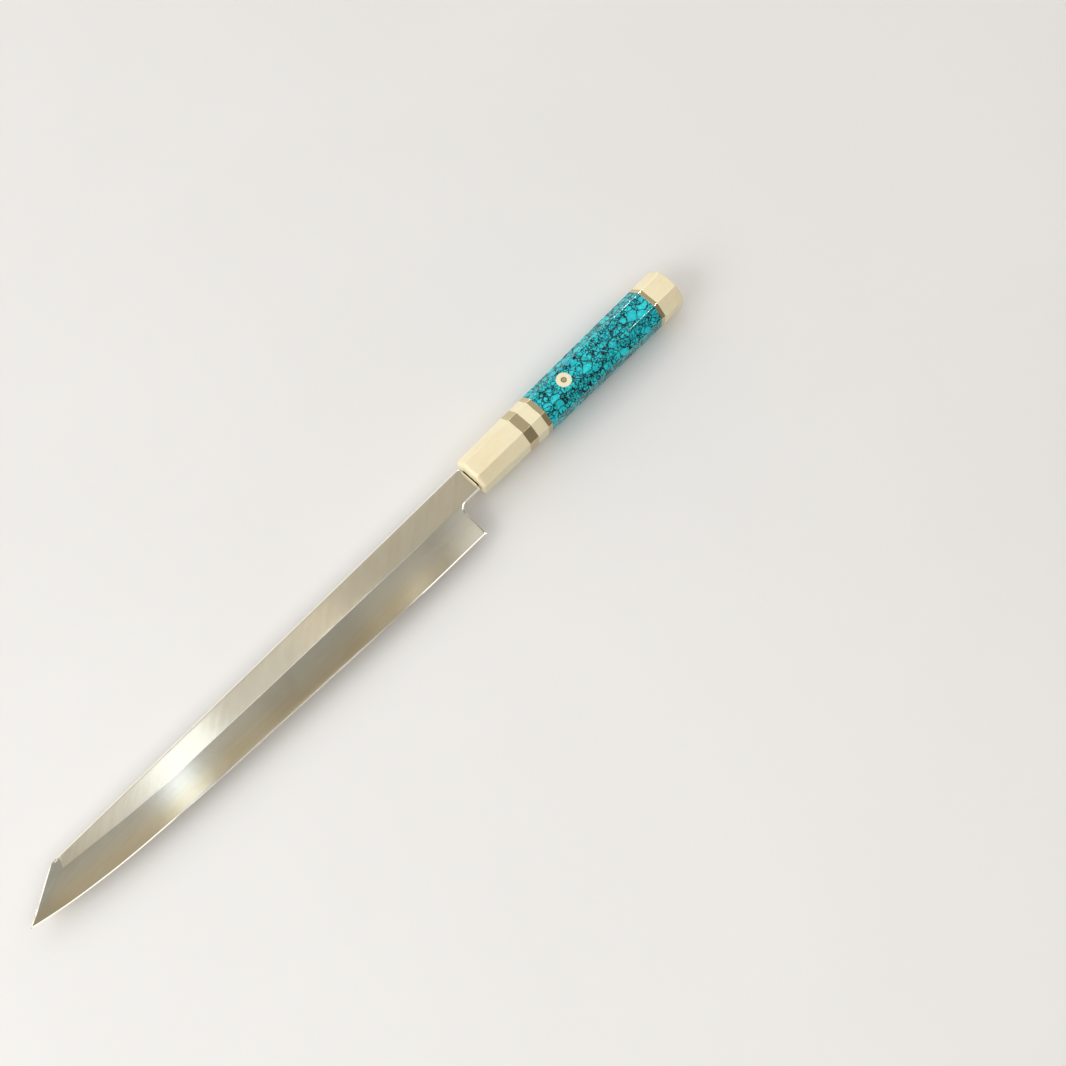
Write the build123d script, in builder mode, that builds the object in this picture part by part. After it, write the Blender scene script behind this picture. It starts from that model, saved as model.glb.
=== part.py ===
from build123d import *
from math import sqrt
import os

os.makedirs("parts", exist_ok=True)

# A left-handed slicing knife with a clipped point and a built-up octagonal handle.
# Millimetres. X runs from the point to the butt, +Y is the spine side, +Z is the bevelled side.
# The origin is the middle of the bounding box's underside.

# Blade outline
blade_length = 300.0        # heel to point
heel_height = 35.4          # spine to edge at the heel
neck_length = 16.1          # heel to the front of the ferrule
neck_height = 16.35
neck_radius = 4.5           # inside curve between neck and heel
shoulder_radius = 1.4       # spine-side corner where the neck meets the ferrule
shoulder_gap = 0.5          # open line between the neck and the ferrule
clip_length = 27.6          # clipped point, measured along the spine
tip_drop = 16.4             # spine down to the point
clip_bulge = 0.35           # how far the clipped line swells past straight
clip_corner_radius = 1.2
spine_rise = 8.35           # handle axis up to the spine

# Blade section
spine_thickness = 4.0       # at the shoulder
clip_thickness = 2.2        # of the spine where the clip starts
bevel_swell = 0.12          # convexity of the ground bevel
edge_width = 0.6            # width of the honed edge
edge_shoulder = 0.35        # thickness behind the honed edge
edge_flat = 0.10            # thickness left at the very edge
spine_softening = 0.5       # radius along the two edges of the spine
neck_softening = 0.4        # the same under the neck
facet_setback = 6.0         # clip corner back to the start of the point's facet, on the spine
facet_run = 3.3             # the facet's first line leans forward by this
facet_drop = 5.9            # over this much height
point_thickness = 0.5       # under the facet, at the point
clip_chamfer_width = 0.9    # narrow chamfer along the clipped line
clip_chamfer_depth = 0.35

# Along the blade from the heel, rise of the edge over the point's rise, and drop of the
# ridge below the spine over the heel height
bevel_shares = (
    (-0.03, -0.004, 0.467),
    (0.00, 0.000, 0.457),
    (0.12, 0.018, 0.438),
    (0.28, 0.083, 0.414),
    (0.50, 0.220, 0.380),
    (0.70, 0.377, 0.330),
    (0.85, 0.568, 0.219),
    (0.94, 0.786, 0.120),
    (1.00, 1.000, 0.00),
    (1.03, 1.130, -0.07),
)

# Hard steel layer on the back, and the hollow ground into it
steel_thickness = 1.35      # at the shoulder
steel_tip_thickness = 0.9   # at the point
steel_end_gap = 6.0         # the layer stops this far short of the shoulder
hollow_width = 30.0         # at its heel end
hollow_depth = 0.35         # at its heel end
hollow_tip_depth = 0.08
hollow_start = 5.0          # heel to the start of the hollow
hollow_stop = 17.0          # end of the hollow to the point
hollow_run_out = 26.0       # length over which the hollow reaches its depth
hollow_heel_drop = 17.9     # spine down to the hollow's middle, at its heel end
hollow_tip_drop = 12.3      # the same at its far end

# Tang
tang_length = 105.0         # past the front of the ferrule
tang_width = 11.0
tang_thickness = 3.6
tang_end_width = 6.5
tang_end_thickness = 2.8
tang_clearance = 0.1

# Handle, in order from the ferrule to the butt
ferrule_length = 35.0
front_ring_length = 6.3
collar_length = 7.7
thin_ring_length = 3.2
body_length = 86.7
rear_ring_length = 2.7
cap_length = 16.8

# Octagonal section at the front of the ferrule and at the butt
front_height = 21.4
front_thickness = 20.5
front_corner = 5.5
butt_height = 25.2
butt_thickness = 22.5
butt_corner = 6.7
edge_softening = 0.8
crown_rise = 1.3

# Dowel inside the handle
dowel_diameter = 14.0
dowel_clearance = 0.05
dowel_front_wall = 12.0     # solid ferrule in front of the dowel
dowel_in_cap = 9.0          # depth of the blind hole in the cap
dowel_end_gap = 0.3

# Cross pin
pin_diameter = 3.3
pin_clearance = 0.05
inlay_diameter = 8.8
inlay_depth = 2.8
pin_setback = 20.6          # front of the body to the pin

overrun = 2.0               # how far every cut runs past what it cuts

# Stations along X
handle_length = (
    ferrule_length + front_ring_length + collar_length + thin_ring_length
    + body_length + rear_ring_length + cap_length
)
overall_length = blade_length + neck_length + handle_length
tip_x = -overall_length / 2
heel_x = tip_x + blade_length
ferrule_x = heel_x + neck_length
shoulder_x = ferrule_x - shoulder_gap
front_ring_x = ferrule_x + ferrule_length
collar_x = front_ring_x + front_ring_length
thin_ring_x = collar_x + collar_length
body_x = thin_ring_x + thin_ring_length
rear_ring_x = body_x + body_length
cap_x = rear_ring_x + rear_ring_length
butt_x = cap_x + cap_length
pin_x = body_x + pin_setback
clip_x = tip_x + clip_length

# Heights: the box is centred across Y and stands on the handle's lower flat
axis_y = (heel_height - spine_rise - butt_height / 2) / 2
axis_z = butt_thickness / 2
spine_y = axis_y + spine_rise
edge_y = spine_y - heel_height
point_y = spine_y - tip_drop
point_rise = point_y - edge_y
back_z = axis_z - spine_thickness / 2


def between(start, end, share):
    """The value a given share of the way from start to end."""
    return start + (end - start) * share


def flat_z(x):
    """Height of the blade's flat, which falls evenly from the shoulder to the point."""
    share = (shoulder_x - x) / (shoulder_x - clip_x)
    return back_z + between(spine_thickness, clip_thickness, share)


def half_width(x, turn):
    """Half the handle's width at a station, across the flats that are turned by so many eighths."""
    share = (x - ferrule_x) / handle_length
    height = between(front_height, butt_height, share)
    thickness = between(front_thickness, butt_thickness, share)
    corner = between(front_corner, butt_corner, share)
    diagonal = ((height + thickness) / 2 - corner) / sqrt(2)
    return (height / 2, diagonal, thickness / 2, diagonal)[turn]


def segment(start, length):
    """One length of the tapered octagonal handle: four tapered slabs crossed, long edges still sharp."""
    end = start + length
    with BuildPart() as piece:
        for turn in range(4):
            with BuildSketch(Plane((0, axis_y, axis_z)).rotated((360 / 8 * turn, 0, 0))):
                with BuildLine():
                    Polyline(
                        (start, half_width(start, turn)),
                        (end, half_width(end, turn)),
                        (end, -half_width(end, turn)),
                        (start, -half_width(start, turn)),
                        close=True,
                    )
                make_face()
            extrude(amount=butt_height, both=True, mode=Mode.INTERSECT if turn else Mode.ADD)
    return piece.part


def long_edges(part, length):
    """The eight edges that run along a segment."""
    return part.edges().filter_by(lambda edge: edge.length > length / 2 and abs(edge.tangent_at(0).X) > 0.9)


def rim_edges(part, y):
    """The long straight edges of a plate at one height across the blade."""
    return part.edges().filter_by(
        lambda edge: edge.length > neck_length / 2 and abs(edge.center().Y - y) < edge_flat
    )


def round_bar(start, end, diameter):
    """A plain round bar on the handle's axis."""
    with BuildPart() as bar:
        with BuildSketch(Plane.YZ.offset(start)):
            with Locations((axis_y, axis_z)):
                Circle(diameter / 2)
        extrude(amount=end - start)
    return bar.part


def cross_bar(diameter, low, high):
    """A plain round bar through the handle at the pin."""
    with BuildPart() as bar:
        with BuildSketch(Plane.XY.offset(low)):
            with Locations((pin_x, axis_y)):
                Circle(diameter / 2)
        extrude(amount=high - low)
    return bar.part


def tang_bar(clearance):
    """The tapered tang from the shoulder to its rounded end, grown by a clearance."""
    end_x = ferrule_x + tang_length
    with BuildPart() as bar:
        with BuildSketch(Plane.XY.offset(axis_z - spine_thickness)):
            with BuildLine():
                Polyline(
                    (shoulder_x - overrun, axis_y + tang_width / 2 + clearance),
                    (end_x, axis_y + tang_end_width / 2 + clearance),
                )
                ThreePointArc(
                    (end_x, axis_y + tang_end_width / 2 + clearance),
                    (end_x + tang_end_width / 2 + clearance, axis_y),
                    (end_x, axis_y - tang_end_width / 2 - clearance),
                )
                Polyline(
                    (end_x, axis_y - tang_end_width / 2 - clearance),
                    (shoulder_x - overrun, axis_y - tang_width / 2 - clearance),
                    (shoulder_x - overrun, axis_y + tang_width / 2 + clearance),
                )
            make_face()
        extrude(amount=2 * spine_thickness)
        with BuildSketch(Plane.XZ.offset(-axis_y - tang_width)):
            with BuildLine():
                Polyline(
                    (shoulder_x - overrun, axis_z + tang_thickness / 2 + clearance),
                    (end_x + tang_end_width, axis_z + tang_end_thickness / 2 + clearance),
                    (end_x + tang_end_width, axis_z - tang_end_thickness / 2 - clearance),
                    (shoulder_x - overrun, axis_z - tang_thickness / 2 - clearance),
                    close=True,
                )
            make_face()
        extrude(amount=2 * tang_width, mode=Mode.INTERSECT)
    return bar.part


# Ground bevel: everything in front of the blade's bevelled face and edge, as one smooth loft
with BuildPart() as bevel_grind:
    for along, rise, drop in bevel_shares:
        x = heel_x - along * blade_length
        ridge = (spine_y - drop * heel_height, flat_z(x))
        edge = (edge_y + rise * point_rise, back_z + edge_flat)
        shoulder = (edge[0] + edge_width, back_z + edge_shoulder)
        middle = ((ridge[0] + shoulder[0]) / 2, (ridge[1] + shoulder[1]) / 2 + bevel_swell)
        low_y = edge_y - 2 * overrun
        low_z = back_z - overrun
        high_z = axis_z + spine_thickness
        with BuildSketch(Plane.YZ.offset(x)):
            with BuildLine():
                ThreePointArc(ridge, middle, shoulder)
                Polyline(
                    shoulder, edge, (edge[0], low_z), (low_y, low_z), (low_y, high_z), (ridge[0], high_z), ridge
                )
            make_face()
    loft()

# Hollow back: a long shallow barrel on a distant axis, turned to follow the blade's middle
hollow_start_x = heel_x - hollow_start
hollow_stop_x = tip_x + hollow_stop
hollow_start_y = spine_y - hollow_heel_drop
hollow_stop_y = spine_y - hollow_tip_drop
hollow_path = Vector(hollow_start_x - hollow_stop_x, hollow_start_y - hollow_stop_y, 0)
hollow_span = hollow_path.length
wheel_radius = hollow_width ** 2 / (8 * hollow_depth)
hollow_plane = Plane(
    origin=(hollow_stop_x, hollow_stop_y, back_z),
    x_dir=hollow_path,
    z_dir=hollow_path.cross(Vector(0, 0, 1)),
)
with BuildPart() as hollow_grind:
    with BuildSketch(hollow_plane):
        with BuildLine():
            Spline(
                (0, -edge_flat),
                (hollow_run_out, hollow_tip_depth),
                (hollow_span - hollow_run_out, hollow_depth),
                (hollow_span, -edge_flat),
                tangents=(
                    (hollow_run_out, 2 * hollow_tip_depth),
                    (hollow_span - 2 * hollow_run_out, hollow_depth - hollow_tip_depth),
                    (hollow_span - 2 * hollow_run_out, hollow_depth - hollow_tip_depth),
                    (hollow_run_out, -2 * hollow_depth),
                ),
            )
            Polyline(
                (hollow_span, -edge_flat),
                (hollow_span, -wheel_radius),
                (0, -wheel_radius),
                (0, -edge_flat),
            )
        make_face()
    revolve(axis=Axis(hollow_plane.from_local_coords((0, -wheel_radius, 0)), hollow_plane.x_dir))

# Facet on the point: the plane through the end of the flat that thins the blade towards the point
facet_top = Vector(clip_x + facet_setback, spine_y, flat_z(clip_x + facet_setback))
facet_low = Vector(
    facet_top.X - facet_run, facet_top.Y - facet_drop, flat_z(facet_top.X - facet_run)
)
facet_end = Vector(tip_x, point_y, back_z + point_thickness)
facet_plane = Plane(origin=facet_top, z_dir=(facet_end - facet_top).cross(facet_low - facet_top))


def facet_z(x, y):
    """Height of the point's facet over a place in plan."""
    normal = facet_plane.z_dir
    return facet_top.Z - ((x - facet_top.X) * normal.X + (y - facet_top.Y) * normal.Y) / normal.Z


# Narrow chamfer along the clipped line, down to the edge at the point
point = Vector(tip_x, point_y, back_z + edge_flat)
clip_direction = Vector(clip_length, tip_drop, 0).normalized()
clip_inward = Vector(clip_direction.Y, -clip_direction.X, 0) * clip_chamfer_width
chamfer_inner = Vector(clip_x, spine_y, 0) + clip_inward
chamfer_inner = Vector(chamfer_inner.X, chamfer_inner.Y, facet_z(chamfer_inner.X, chamfer_inner.Y))
chamfer_outer = Vector(clip_x, spine_y, facet_z(clip_x, spine_y) - clip_chamfer_depth)
clip_plane = Plane(
    origin=chamfer_outer, z_dir=(point - chamfer_outer).cross(chamfer_inner - chamfer_outer)
)
clip_middle = (
    (clip_x + tip_x) / 2 - clip_bulge * clip_direction.Y,
    (spine_y + point_y) / 2 + clip_bulge * clip_direction.X,
)

# Whole forging: plan outline crossed with the tapered side profile, eased, ground, then clipped
neck_low_y = spine_y - neck_height
with BuildPart() as forging:
    with BuildSketch(Plane.XY.offset(back_z)) as plan:
        with BuildLine():
            Polyline(
                (tip_x - overrun, spine_y),
                (tip_x - overrun, edge_y - overrun),
                (heel_x, edge_y - overrun),
                (heel_x, neck_low_y),
                (shoulder_x, neck_low_y),
                (shoulder_x, spine_y),
                close=True,
            )
        make_face()
        for x, y, radius in ((heel_x, neck_low_y, neck_radius), (shoulder_x, spine_y, shoulder_radius)):
            fillet(plan.vertices().sort_by_distance((x, y, back_z))[0], radius)
    extrude(amount=2 * spine_thickness)
    with BuildSketch(Plane.XZ.offset(-spine_y - overrun)):
        with BuildLine():
            Polyline(
                (tip_x - 2 * overrun, back_z),
                (shoulder_x, back_z),
                (shoulder_x, flat_z(shoulder_x)),
                (tip_x - 2 * overrun, flat_z(tip_x - 2 * overrun)),
                close=True,
            )
        make_face()
    extrude(amount=heel_height + 3 * overrun, mode=Mode.INTERSECT)
    fillet(rim_edges(forging, spine_y), spine_softening)
    fillet(rim_edges(forging, neck_low_y), neck_softening)
    add(bevel_grind.part, mode=Mode.SUBTRACT)
    with BuildSketch(Plane.XY.offset(back_z - overrun)) as window:
        with BuildLine():
            ThreePointArc((clip_x, spine_y), clip_middle, (tip_x, point_y))
            Polyline(
                (tip_x, point_y),
                (tip_x, edge_y - overrun),
                (shoulder_x + overrun, edge_y - overrun),
                (shoulder_x + overrun, spine_y),
                (clip_x, spine_y),
            )
        make_face()
        fillet(window.vertices().sort_by_distance((clip_x, spine_y, back_z))[0], clip_corner_radius)
    extrude(amount=2 * spine_thickness, mode=Mode.INTERSECT)
    split(bisect_by=facet_plane, keep=Keep.BOTTOM)
    split(bisect_by=clip_plane, keep=Keep.BOTTOM)
    add(hollow_grind.part, mode=Mode.SUBTRACT)
    add(tang_bar(0))
    add(cross_bar(pin_diameter + 2 * pin_clearance, back_z - overrun, back_z + 2 * spine_thickness),
        mode=Mode.SUBTRACT)

# The hard layer's share of the forging, seen from the side
with BuildPart() as steel_zone:
    with BuildSketch(Plane.XZ.offset(-spine_y - overrun)):
        with BuildLine():
            Polyline(
                (tip_x - overrun, back_z - overrun),
                (shoulder_x - steel_end_gap, back_z - overrun),
                (shoulder_x - steel_end_gap, back_z + steel_thickness),
                (tip_x - overrun, back_z + steel_tip_thickness),
                close=True,
            )
        make_face()
    extrude(amount=heel_height + 3 * overrun)

with BuildPart() as cutting_steel:
    add(forging.part)
    add(steel_zone.part, mode=Mode.INTERSECT)

with BuildPart() as blade_body:
    add(forging.part)
    add(steel_zone.part, mode=Mode.SUBTRACT)

# Dowel space shared by every section that is threaded on it
dowel_start_x = ferrule_x + dowel_front_wall
dowel_stop_x = cap_x + dowel_in_cap
dowel_hole = round_bar(dowel_start_x, dowel_stop_x, dowel_diameter)
tang_slot = tang_bar(tang_clearance)

with BuildPart() as ferrule:
    add(segment(ferrule_x, ferrule_length))
    front_rim = ferrule.faces().sort_by(Axis.X)[0].edges()
    fillet(long_edges(ferrule, ferrule_length) + front_rim, edge_softening)
    add(dowel_hole, mode=Mode.SUBTRACT)
    add(tang_slot, mode=Mode.SUBTRACT)

with BuildPart() as front_ring:
    add(segment(front_ring_x, front_ring_length))
    fillet(long_edges(front_ring, front_ring_length), edge_softening)
    add(dowel_hole, mode=Mode.SUBTRACT)

with BuildPart() as collar:
    add(segment(collar_x, collar_length))
    fillet(long_edges(collar, collar_length), edge_softening)
    add(dowel_hole, mode=Mode.SUBTRACT)

with BuildPart() as thin_ring:
    add(segment(thin_ring_x, thin_ring_length))
    fillet(long_edges(thin_ring, thin_ring_length), edge_softening)
    add(dowel_hole, mode=Mode.SUBTRACT)

# Cross pin and its two inlays, dressed flush with the body's flats
pin_low_z = axis_z - butt_thickness
pin_high_z = axis_z + butt_thickness
pin_half_thickness = half_width(pin_x, 2)
inlay_bottom_z = axis_z + pin_half_thickness - inlay_depth
inlay_top_z = axis_z - pin_half_thickness + inlay_depth
body_block = segment(body_x, body_length)

with BuildPart() as handle_body:
    add(body_block)
    fillet(long_edges(handle_body, body_length), edge_softening)
    add(dowel_hole, mode=Mode.SUBTRACT)
    add(cross_bar(pin_diameter + 2 * pin_clearance, pin_low_z, pin_high_z), mode=Mode.SUBTRACT)
    add(cross_bar(inlay_diameter, inlay_bottom_z, pin_high_z), mode=Mode.SUBTRACT)
    add(cross_bar(inlay_diameter, pin_low_z, inlay_top_z), mode=Mode.SUBTRACT)

with BuildPart() as pin:
    add(body_block)
    add(cross_bar(pin_diameter, pin_low_z, pin_high_z), mode=Mode.INTERSECT)

with BuildPart() as pin_collar_left:
    add(body_block)
    add(cross_bar(inlay_diameter, inlay_bottom_z, pin_high_z), mode=Mode.INTERSECT)
    add(cross_bar(pin_diameter, pin_low_z, pin_high_z), mode=Mode.SUBTRACT)

with BuildPart() as pin_collar_right:
    add(body_block)
    add(cross_bar(inlay_diameter, pin_low_z, inlay_top_z), mode=Mode.INTERSECT)
    add(cross_bar(pin_diameter, pin_low_z, pin_high_z), mode=Mode.SUBTRACT)

with BuildPart() as rear_ring:
    add(segment(rear_ring_x, rear_ring_length))
    fillet(long_edges(rear_ring, rear_ring_length), edge_softening)
    add(dowel_hole, mode=Mode.SUBTRACT)

# Butt: the last length of the octagon, crowned like a shallow dome and softened all round
crown_reach = butt_height / 2
crown_radius = (crown_reach ** 2 + crown_rise ** 2) / (2 * crown_rise)
with BuildPart() as end_cap:
    add(segment(cap_x, cap_length))
    fillet(long_edges(end_cap, cap_length), edge_softening)
    with Locations((butt_x - crown_radius, axis_y, axis_z)):
        Sphere(crown_radius, mode=Mode.INTERSECT)
    chamfer(end_cap.faces().sort_by(Axis.X)[-1].edges(), edge_softening / 2)
    add(dowel_hole, mode=Mode.SUBTRACT)

with BuildPart() as core_dowel:
    add(round_bar(dowel_start_x, dowel_stop_x - dowel_end_gap, dowel_diameter - 2 * dowel_clearance))
    add(tang_slot, mode=Mode.SUBTRACT)
    add(cross_bar(pin_diameter + 2 * pin_clearance, pin_low_z, pin_high_z), mode=Mode.SUBTRACT)

pieces = {
    "blade_body": blade_body,
    "cutting_steel": cutting_steel,
    "ferrule": ferrule,
    "front_ring": front_ring,
    "collar": collar,
    "thin_ring": thin_ring,
    "handle_body": handle_body,
    "rear_ring": rear_ring,
    "end_cap": end_cap,
    "core_dowel": core_dowel,
    "pin": pin,
    "pin_collar_left": pin_collar_left,
    "pin_collar_right": pin_collar_right,
}
for name, piece in pieces.items():
    piece.part.label = name
    export_step(piece.part, f"parts/{name}.step")
    print(name, "volume", round(piece.part.volume, 1), "solids", len(piece.part.solids()))
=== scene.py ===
# %% [markdown]
# # A left-handed slicing knife with a turquoise handle
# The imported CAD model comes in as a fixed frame: every solid already lies at its real place, in
# metres. Blender gives each piece its finish, and makes again, more finely, the pieces that the
# camera sees: the ground blade and the octagonal sections of the handle. The order is the frame,
# the camera, helpers, handle, blade, finishes, floor and lamps.

# %% Load the frame
import bpy
import bmesh
import numpy as np
from functools import partialmethod
from math import cos, pi, radians, sin, sqrt
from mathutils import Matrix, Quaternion, Vector
from mathutils.geometry import delaunay_2d_cdt


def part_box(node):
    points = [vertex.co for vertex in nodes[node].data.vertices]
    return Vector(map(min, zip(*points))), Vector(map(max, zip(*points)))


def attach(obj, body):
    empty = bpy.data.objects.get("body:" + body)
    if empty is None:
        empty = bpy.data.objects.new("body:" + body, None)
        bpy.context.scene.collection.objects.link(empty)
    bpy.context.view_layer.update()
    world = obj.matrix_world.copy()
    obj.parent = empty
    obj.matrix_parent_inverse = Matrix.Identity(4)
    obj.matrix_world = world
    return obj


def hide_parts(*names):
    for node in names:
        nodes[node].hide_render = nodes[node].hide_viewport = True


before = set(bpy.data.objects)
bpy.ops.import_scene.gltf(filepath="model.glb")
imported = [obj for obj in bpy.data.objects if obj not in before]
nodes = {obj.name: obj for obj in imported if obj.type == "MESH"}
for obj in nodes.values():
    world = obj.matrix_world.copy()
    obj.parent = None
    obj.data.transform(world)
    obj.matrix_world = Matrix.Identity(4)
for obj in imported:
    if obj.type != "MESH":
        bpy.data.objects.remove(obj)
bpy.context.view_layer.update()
scene = bpy.context.scene
MM = 0.001
print("nodes:", sorted(nodes))

# %% [markdown]
# ## Camera
# The photograph looks down on the knife from the edge's side, with a lens a little longer than
# normal. The camera's place, the point it looks at and its roll were fitted to corners of the
# handle and blade, so the render and the photograph can be laid over each other.

# %% Camera
CAMERA_PLACE = Vector((-126.6, -259.9, 811.0)) * MM
CAMERA_AIM = Vector((79.0, -38.5, 11.25)) * MM
CAMERA_ROLL = radians(3.86)
LENS_MM, SENSOR_MM = 54.73, 36.0
NEAREST = 0.01            # metres from the lens at which the camera starts to see


def new_object(name, data=None):
    """An object at the origin, linked to the scene. Without data it gets an empty mesh."""
    made = bpy.data.objects.new(name, data or bpy.data.meshes.new(name))
    scene.collection.objects.link(made)
    return made


def point_at(thing, place, target, turn):
    """Put a camera or lamp at a place, facing a target, and turn it about its line of sight."""
    look = (Vector(target) - Vector(place)).to_track_quat("-Z", "Y")
    thing.location = place
    thing.rotation_mode = "QUATERNION"
    thing.rotation_quaternion = look @ Quaternion((0, 0, 1), turn)


camera_data = bpy.data.cameras.new("camera")
camera_data.lens, camera_data.sensor_width, camera_data.clip_start = LENS_MM, SENSOR_MM, NEAREST
scene.camera = new_object("camera", camera_data)
point_at(scene.camera, CAMERA_PLACE, CAMERA_AIM, -CAMERA_ROLL)
scene.view_settings.view_transform = "Standard"
print("camera distance, mm:", round((CAMERA_AIM - CAMERA_PLACE).length / MM, 1))

# %% [markdown]
# ## Measures
# The knife's own measures, in millimetres, as a maker would write them on a drawing. X runs from
# the point to the butt, +Y towards the spine, +Z out of the bevelled face. They are the CAD
# model's, so every piece made here lands on the solid that it stands for.

# %% Measures
AXIS_Y, AXIS_Z = 7.225, 11.25          # the handle's axis
FERRULE_X, BUTT_X = 78.85, 237.25      # both ends of the handle
TIP_X, HEEL_X, SHOULDER_X = -237.25, 62.75, 77.9
SPINE_Y, EDGE_Y, POINT_Y = 15.575, -19.825, -0.825
BACK_Z = 9.25                          # the blade's back
PIN_X = 151.65
handle_size = [max(corner) for corner in zip(*(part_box(name)[1] for name in ("ferrule", "end_cap")))]
print("handle reaches, mm:", [round(value / MM, 2) for value in handle_size])

# %% [markdown]
# ## Wires
# A node tree is easier to read as a formula than as a list of links. A `Wire` is one output socket
# that can be added to numbers or other wires, multiplied and so on, and each sign in the formula
# adds one Math node. Geometry trees and shader trees both use that same node.

# %% Wires
class Wire:
    """One output of a node tree, to be used in a formula."""

    def __init__(self, tree, socket):
        self.tree, self.socket = tree, socket

    def math(self, operation, *others, clamp=False):
        return calc(self.tree, operation, self, *others, clamp=clamp)

    def __rsub__(self, other):
        return calc(self.tree, "SUBTRACT", other, self)

    def clamped(self):
        """The same value kept between 0 and 1."""
        return self.math("ADD", 0.0, clamp=True)

    __add__ = __radd__ = partialmethod(math, "ADD")
    __mul__ = __rmul__ = partialmethod(math, "MULTIPLY")
    __sub__ = partialmethod(math, "SUBTRACT")
    __truediv__ = partialmethod(math, "DIVIDE")


def add(tree, kind, plugs=None, **settings):
    """Add one node with its settings. Each input in plugs is linked to a wire or given a value."""
    made = tree.nodes.new(kind)
    made.location = (len(tree.nodes) % 10 * 220, -(len(tree.nodes) // 10) * 260)
    for name, value in settings.items():
        setattr(made, name, value)
    for name, value in (plugs or {}).items():
        if isinstance(value, Wire):
            tree.links.new(value.socket, made.inputs[name])
        else:
            made.inputs[name].default_value = value
    return made


def out(made, name=0):
    """An output of a node, as a wire."""
    return Wire(made.id_data, made.outputs[name])


def calc(tree, operation, *values, clamp=False):
    """One Math node."""
    plugs = dict(enumerate(values))
    return out(add(tree, "ShaderNodeMath", plugs, operation=operation, use_clamp=clamp))


def in_mm(tree, x, y, z):
    """A place given by three lengths in millimetres, each a number or a wire."""
    return out(add(tree, "ShaderNodeCombineXYZ", {"X": x * MM, "Y": y * MM, "Z": z * MM}))


def split(vector):
    """X, Y and Z of a vector."""
    made = add(vector.tree, "ShaderNodeSeparateXYZ", {"Vector": vector})
    return [out(made, axis) for axis in "XYZ"]


def mix(low, high, share):
    """The value at a share of the way from low to high, of wires, numbers or arrays."""
    return low + (high - low) * share


def new_tree(kind, name, inputs, output):
    """A node group and its inputs as wires. An input is a number, a vector or a kind of socket."""
    tree = bpy.data.node_groups.new(name, kind + "NodeTree")
    for label, value in inputs.items():
        typed = isinstance(value, str)
        socket_kind = value if typed else "Vector" if isinstance(value, tuple) else "Float"
        socket = tree.interface.new_socket(
            label, in_out="INPUT", socket_type="NodeSocket" + socket_kind)
        if not typed:
            socket.default_value = value
    result = "Geometry" if kind == "Geometry" else "Float"
    tree.interface.new_socket(output, in_out="OUTPUT", socket_type="NodeSocket" + result)
    given = add(tree, "NodeGroupInput")
    return tree, {label: out(given, label) for label in inputs}


def send(value):
    """Make a wire the output of its group."""
    add(value.tree, "NodeGroupOutput", {0: value})


# %% [markdown]
# ## Handle sections
# The real handle is a stack of sections threaded on a dowel: ivory-coloured ferrule, metal ring,
# collar, thin ring, the long turquoise body, another thin ring and the butt. All were filed
# together, so all seven follow one rule: a tapered octagon with dead flat sides and slightly
# broken edges.
#
# Seven meshes could be modelled by hand, or bevelled with a modifier, but a shape that follows a
# rule suits Geometry Nodes. The tree below takes a flat grid, reads each vertex's column as a
# place round the octagon and its row as a place along the section, and moves it there. Each corner
# gets an arc of its own, and each flat has extra columns close to its ends, so that smooth shading
# keeps it flat.

# %% Rule of the octagon
ARC_STEPS = 4                     # facets in each rounded corner
FLAT_STEPS = 8                    # columns across each flat
PER_EIGHTH = ARC_STEPS + FLAT_STEPS
COLUMNS = 8 * PER_EIGHTH
EIGHTH = radians(45)
SUPPORT = 0.25                    # mm from a rounded edge to the row that holds its shading
FLAT_SUPPORT = 0.03               # the same for a column, as a share of the flat
RIM_STEPS, FACE_STEPS = 6, 8      # rows over each rim, and from the rear rim to the middle
FACE_POWER = 1.5                  # gathers the rows of the rear end towards its rim
FRONT_RIM = 2                     # the row at which the front rim starts
SIDE = FRONT_RIM + RIM_STEPS + 1  # the last row of the front half
REAR_RIM = SIDE + 2
REAR_FACE = REAR_RIM + RIM_STEPS
ROWS = REAR_FACE + FACE_STEPS
DOME_POWER = 3.4                  # the crown stays nearly flat in the middle and rolls off outside
ROUND_STEPS = 64                  # sides of a drill, and of what is turned to fill its hole
SEAM_GAP, CUT_GAP = 1e-6, 2e-6    # metres: points closer than this are merged

SECTION_INPUTS = {
    "Start": 0.0, "End": 10.0,
    "Edge Radius": 0.45, "Front Rim": 0.08, "Rear Rim": 0.08, "Crown": 0.0,
    "Front Height": 21.4, "Front Thickness": 20.5, "Front Corner": 5.5,
    "Butt Height": 25.2, "Butt Thickness": 22.5, "Butt Corner": 6.7,
    "Bore Start": 0.0, "Bore End": 0.0, "Bore Radius": 7.0,
    "Slot Width": 0.0, "Slot Thickness": 3.8, "Finish": "Material",
}


def finished(geometry, finish):
    """Close hairline gaps, realize the instances, set the finish and send the geometry out."""
    tree = geometry.tree
    closed = add(tree, "GeometryNodeMergeByDistance", {"Geometry": geometry, "Distance": CUT_GAP})
    real = add(tree, "GeometryNodeRealizeInstances", {"Geometry": out(closed)})
    send(out(add(tree, "GeometryNodeSetMaterial", {"Geometry": out(real), "Material": finish})))


def less(geometry, tool):
    """One solid with another taken away."""
    cut = add(geometry.tree, "GeometryNodeMeshBoolean", {"Mesh 1": geometry, "Mesh 2": tool},
              operation="DIFFERENCE", solver="EXACT")
    return out(cut, "Mesh")


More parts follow.
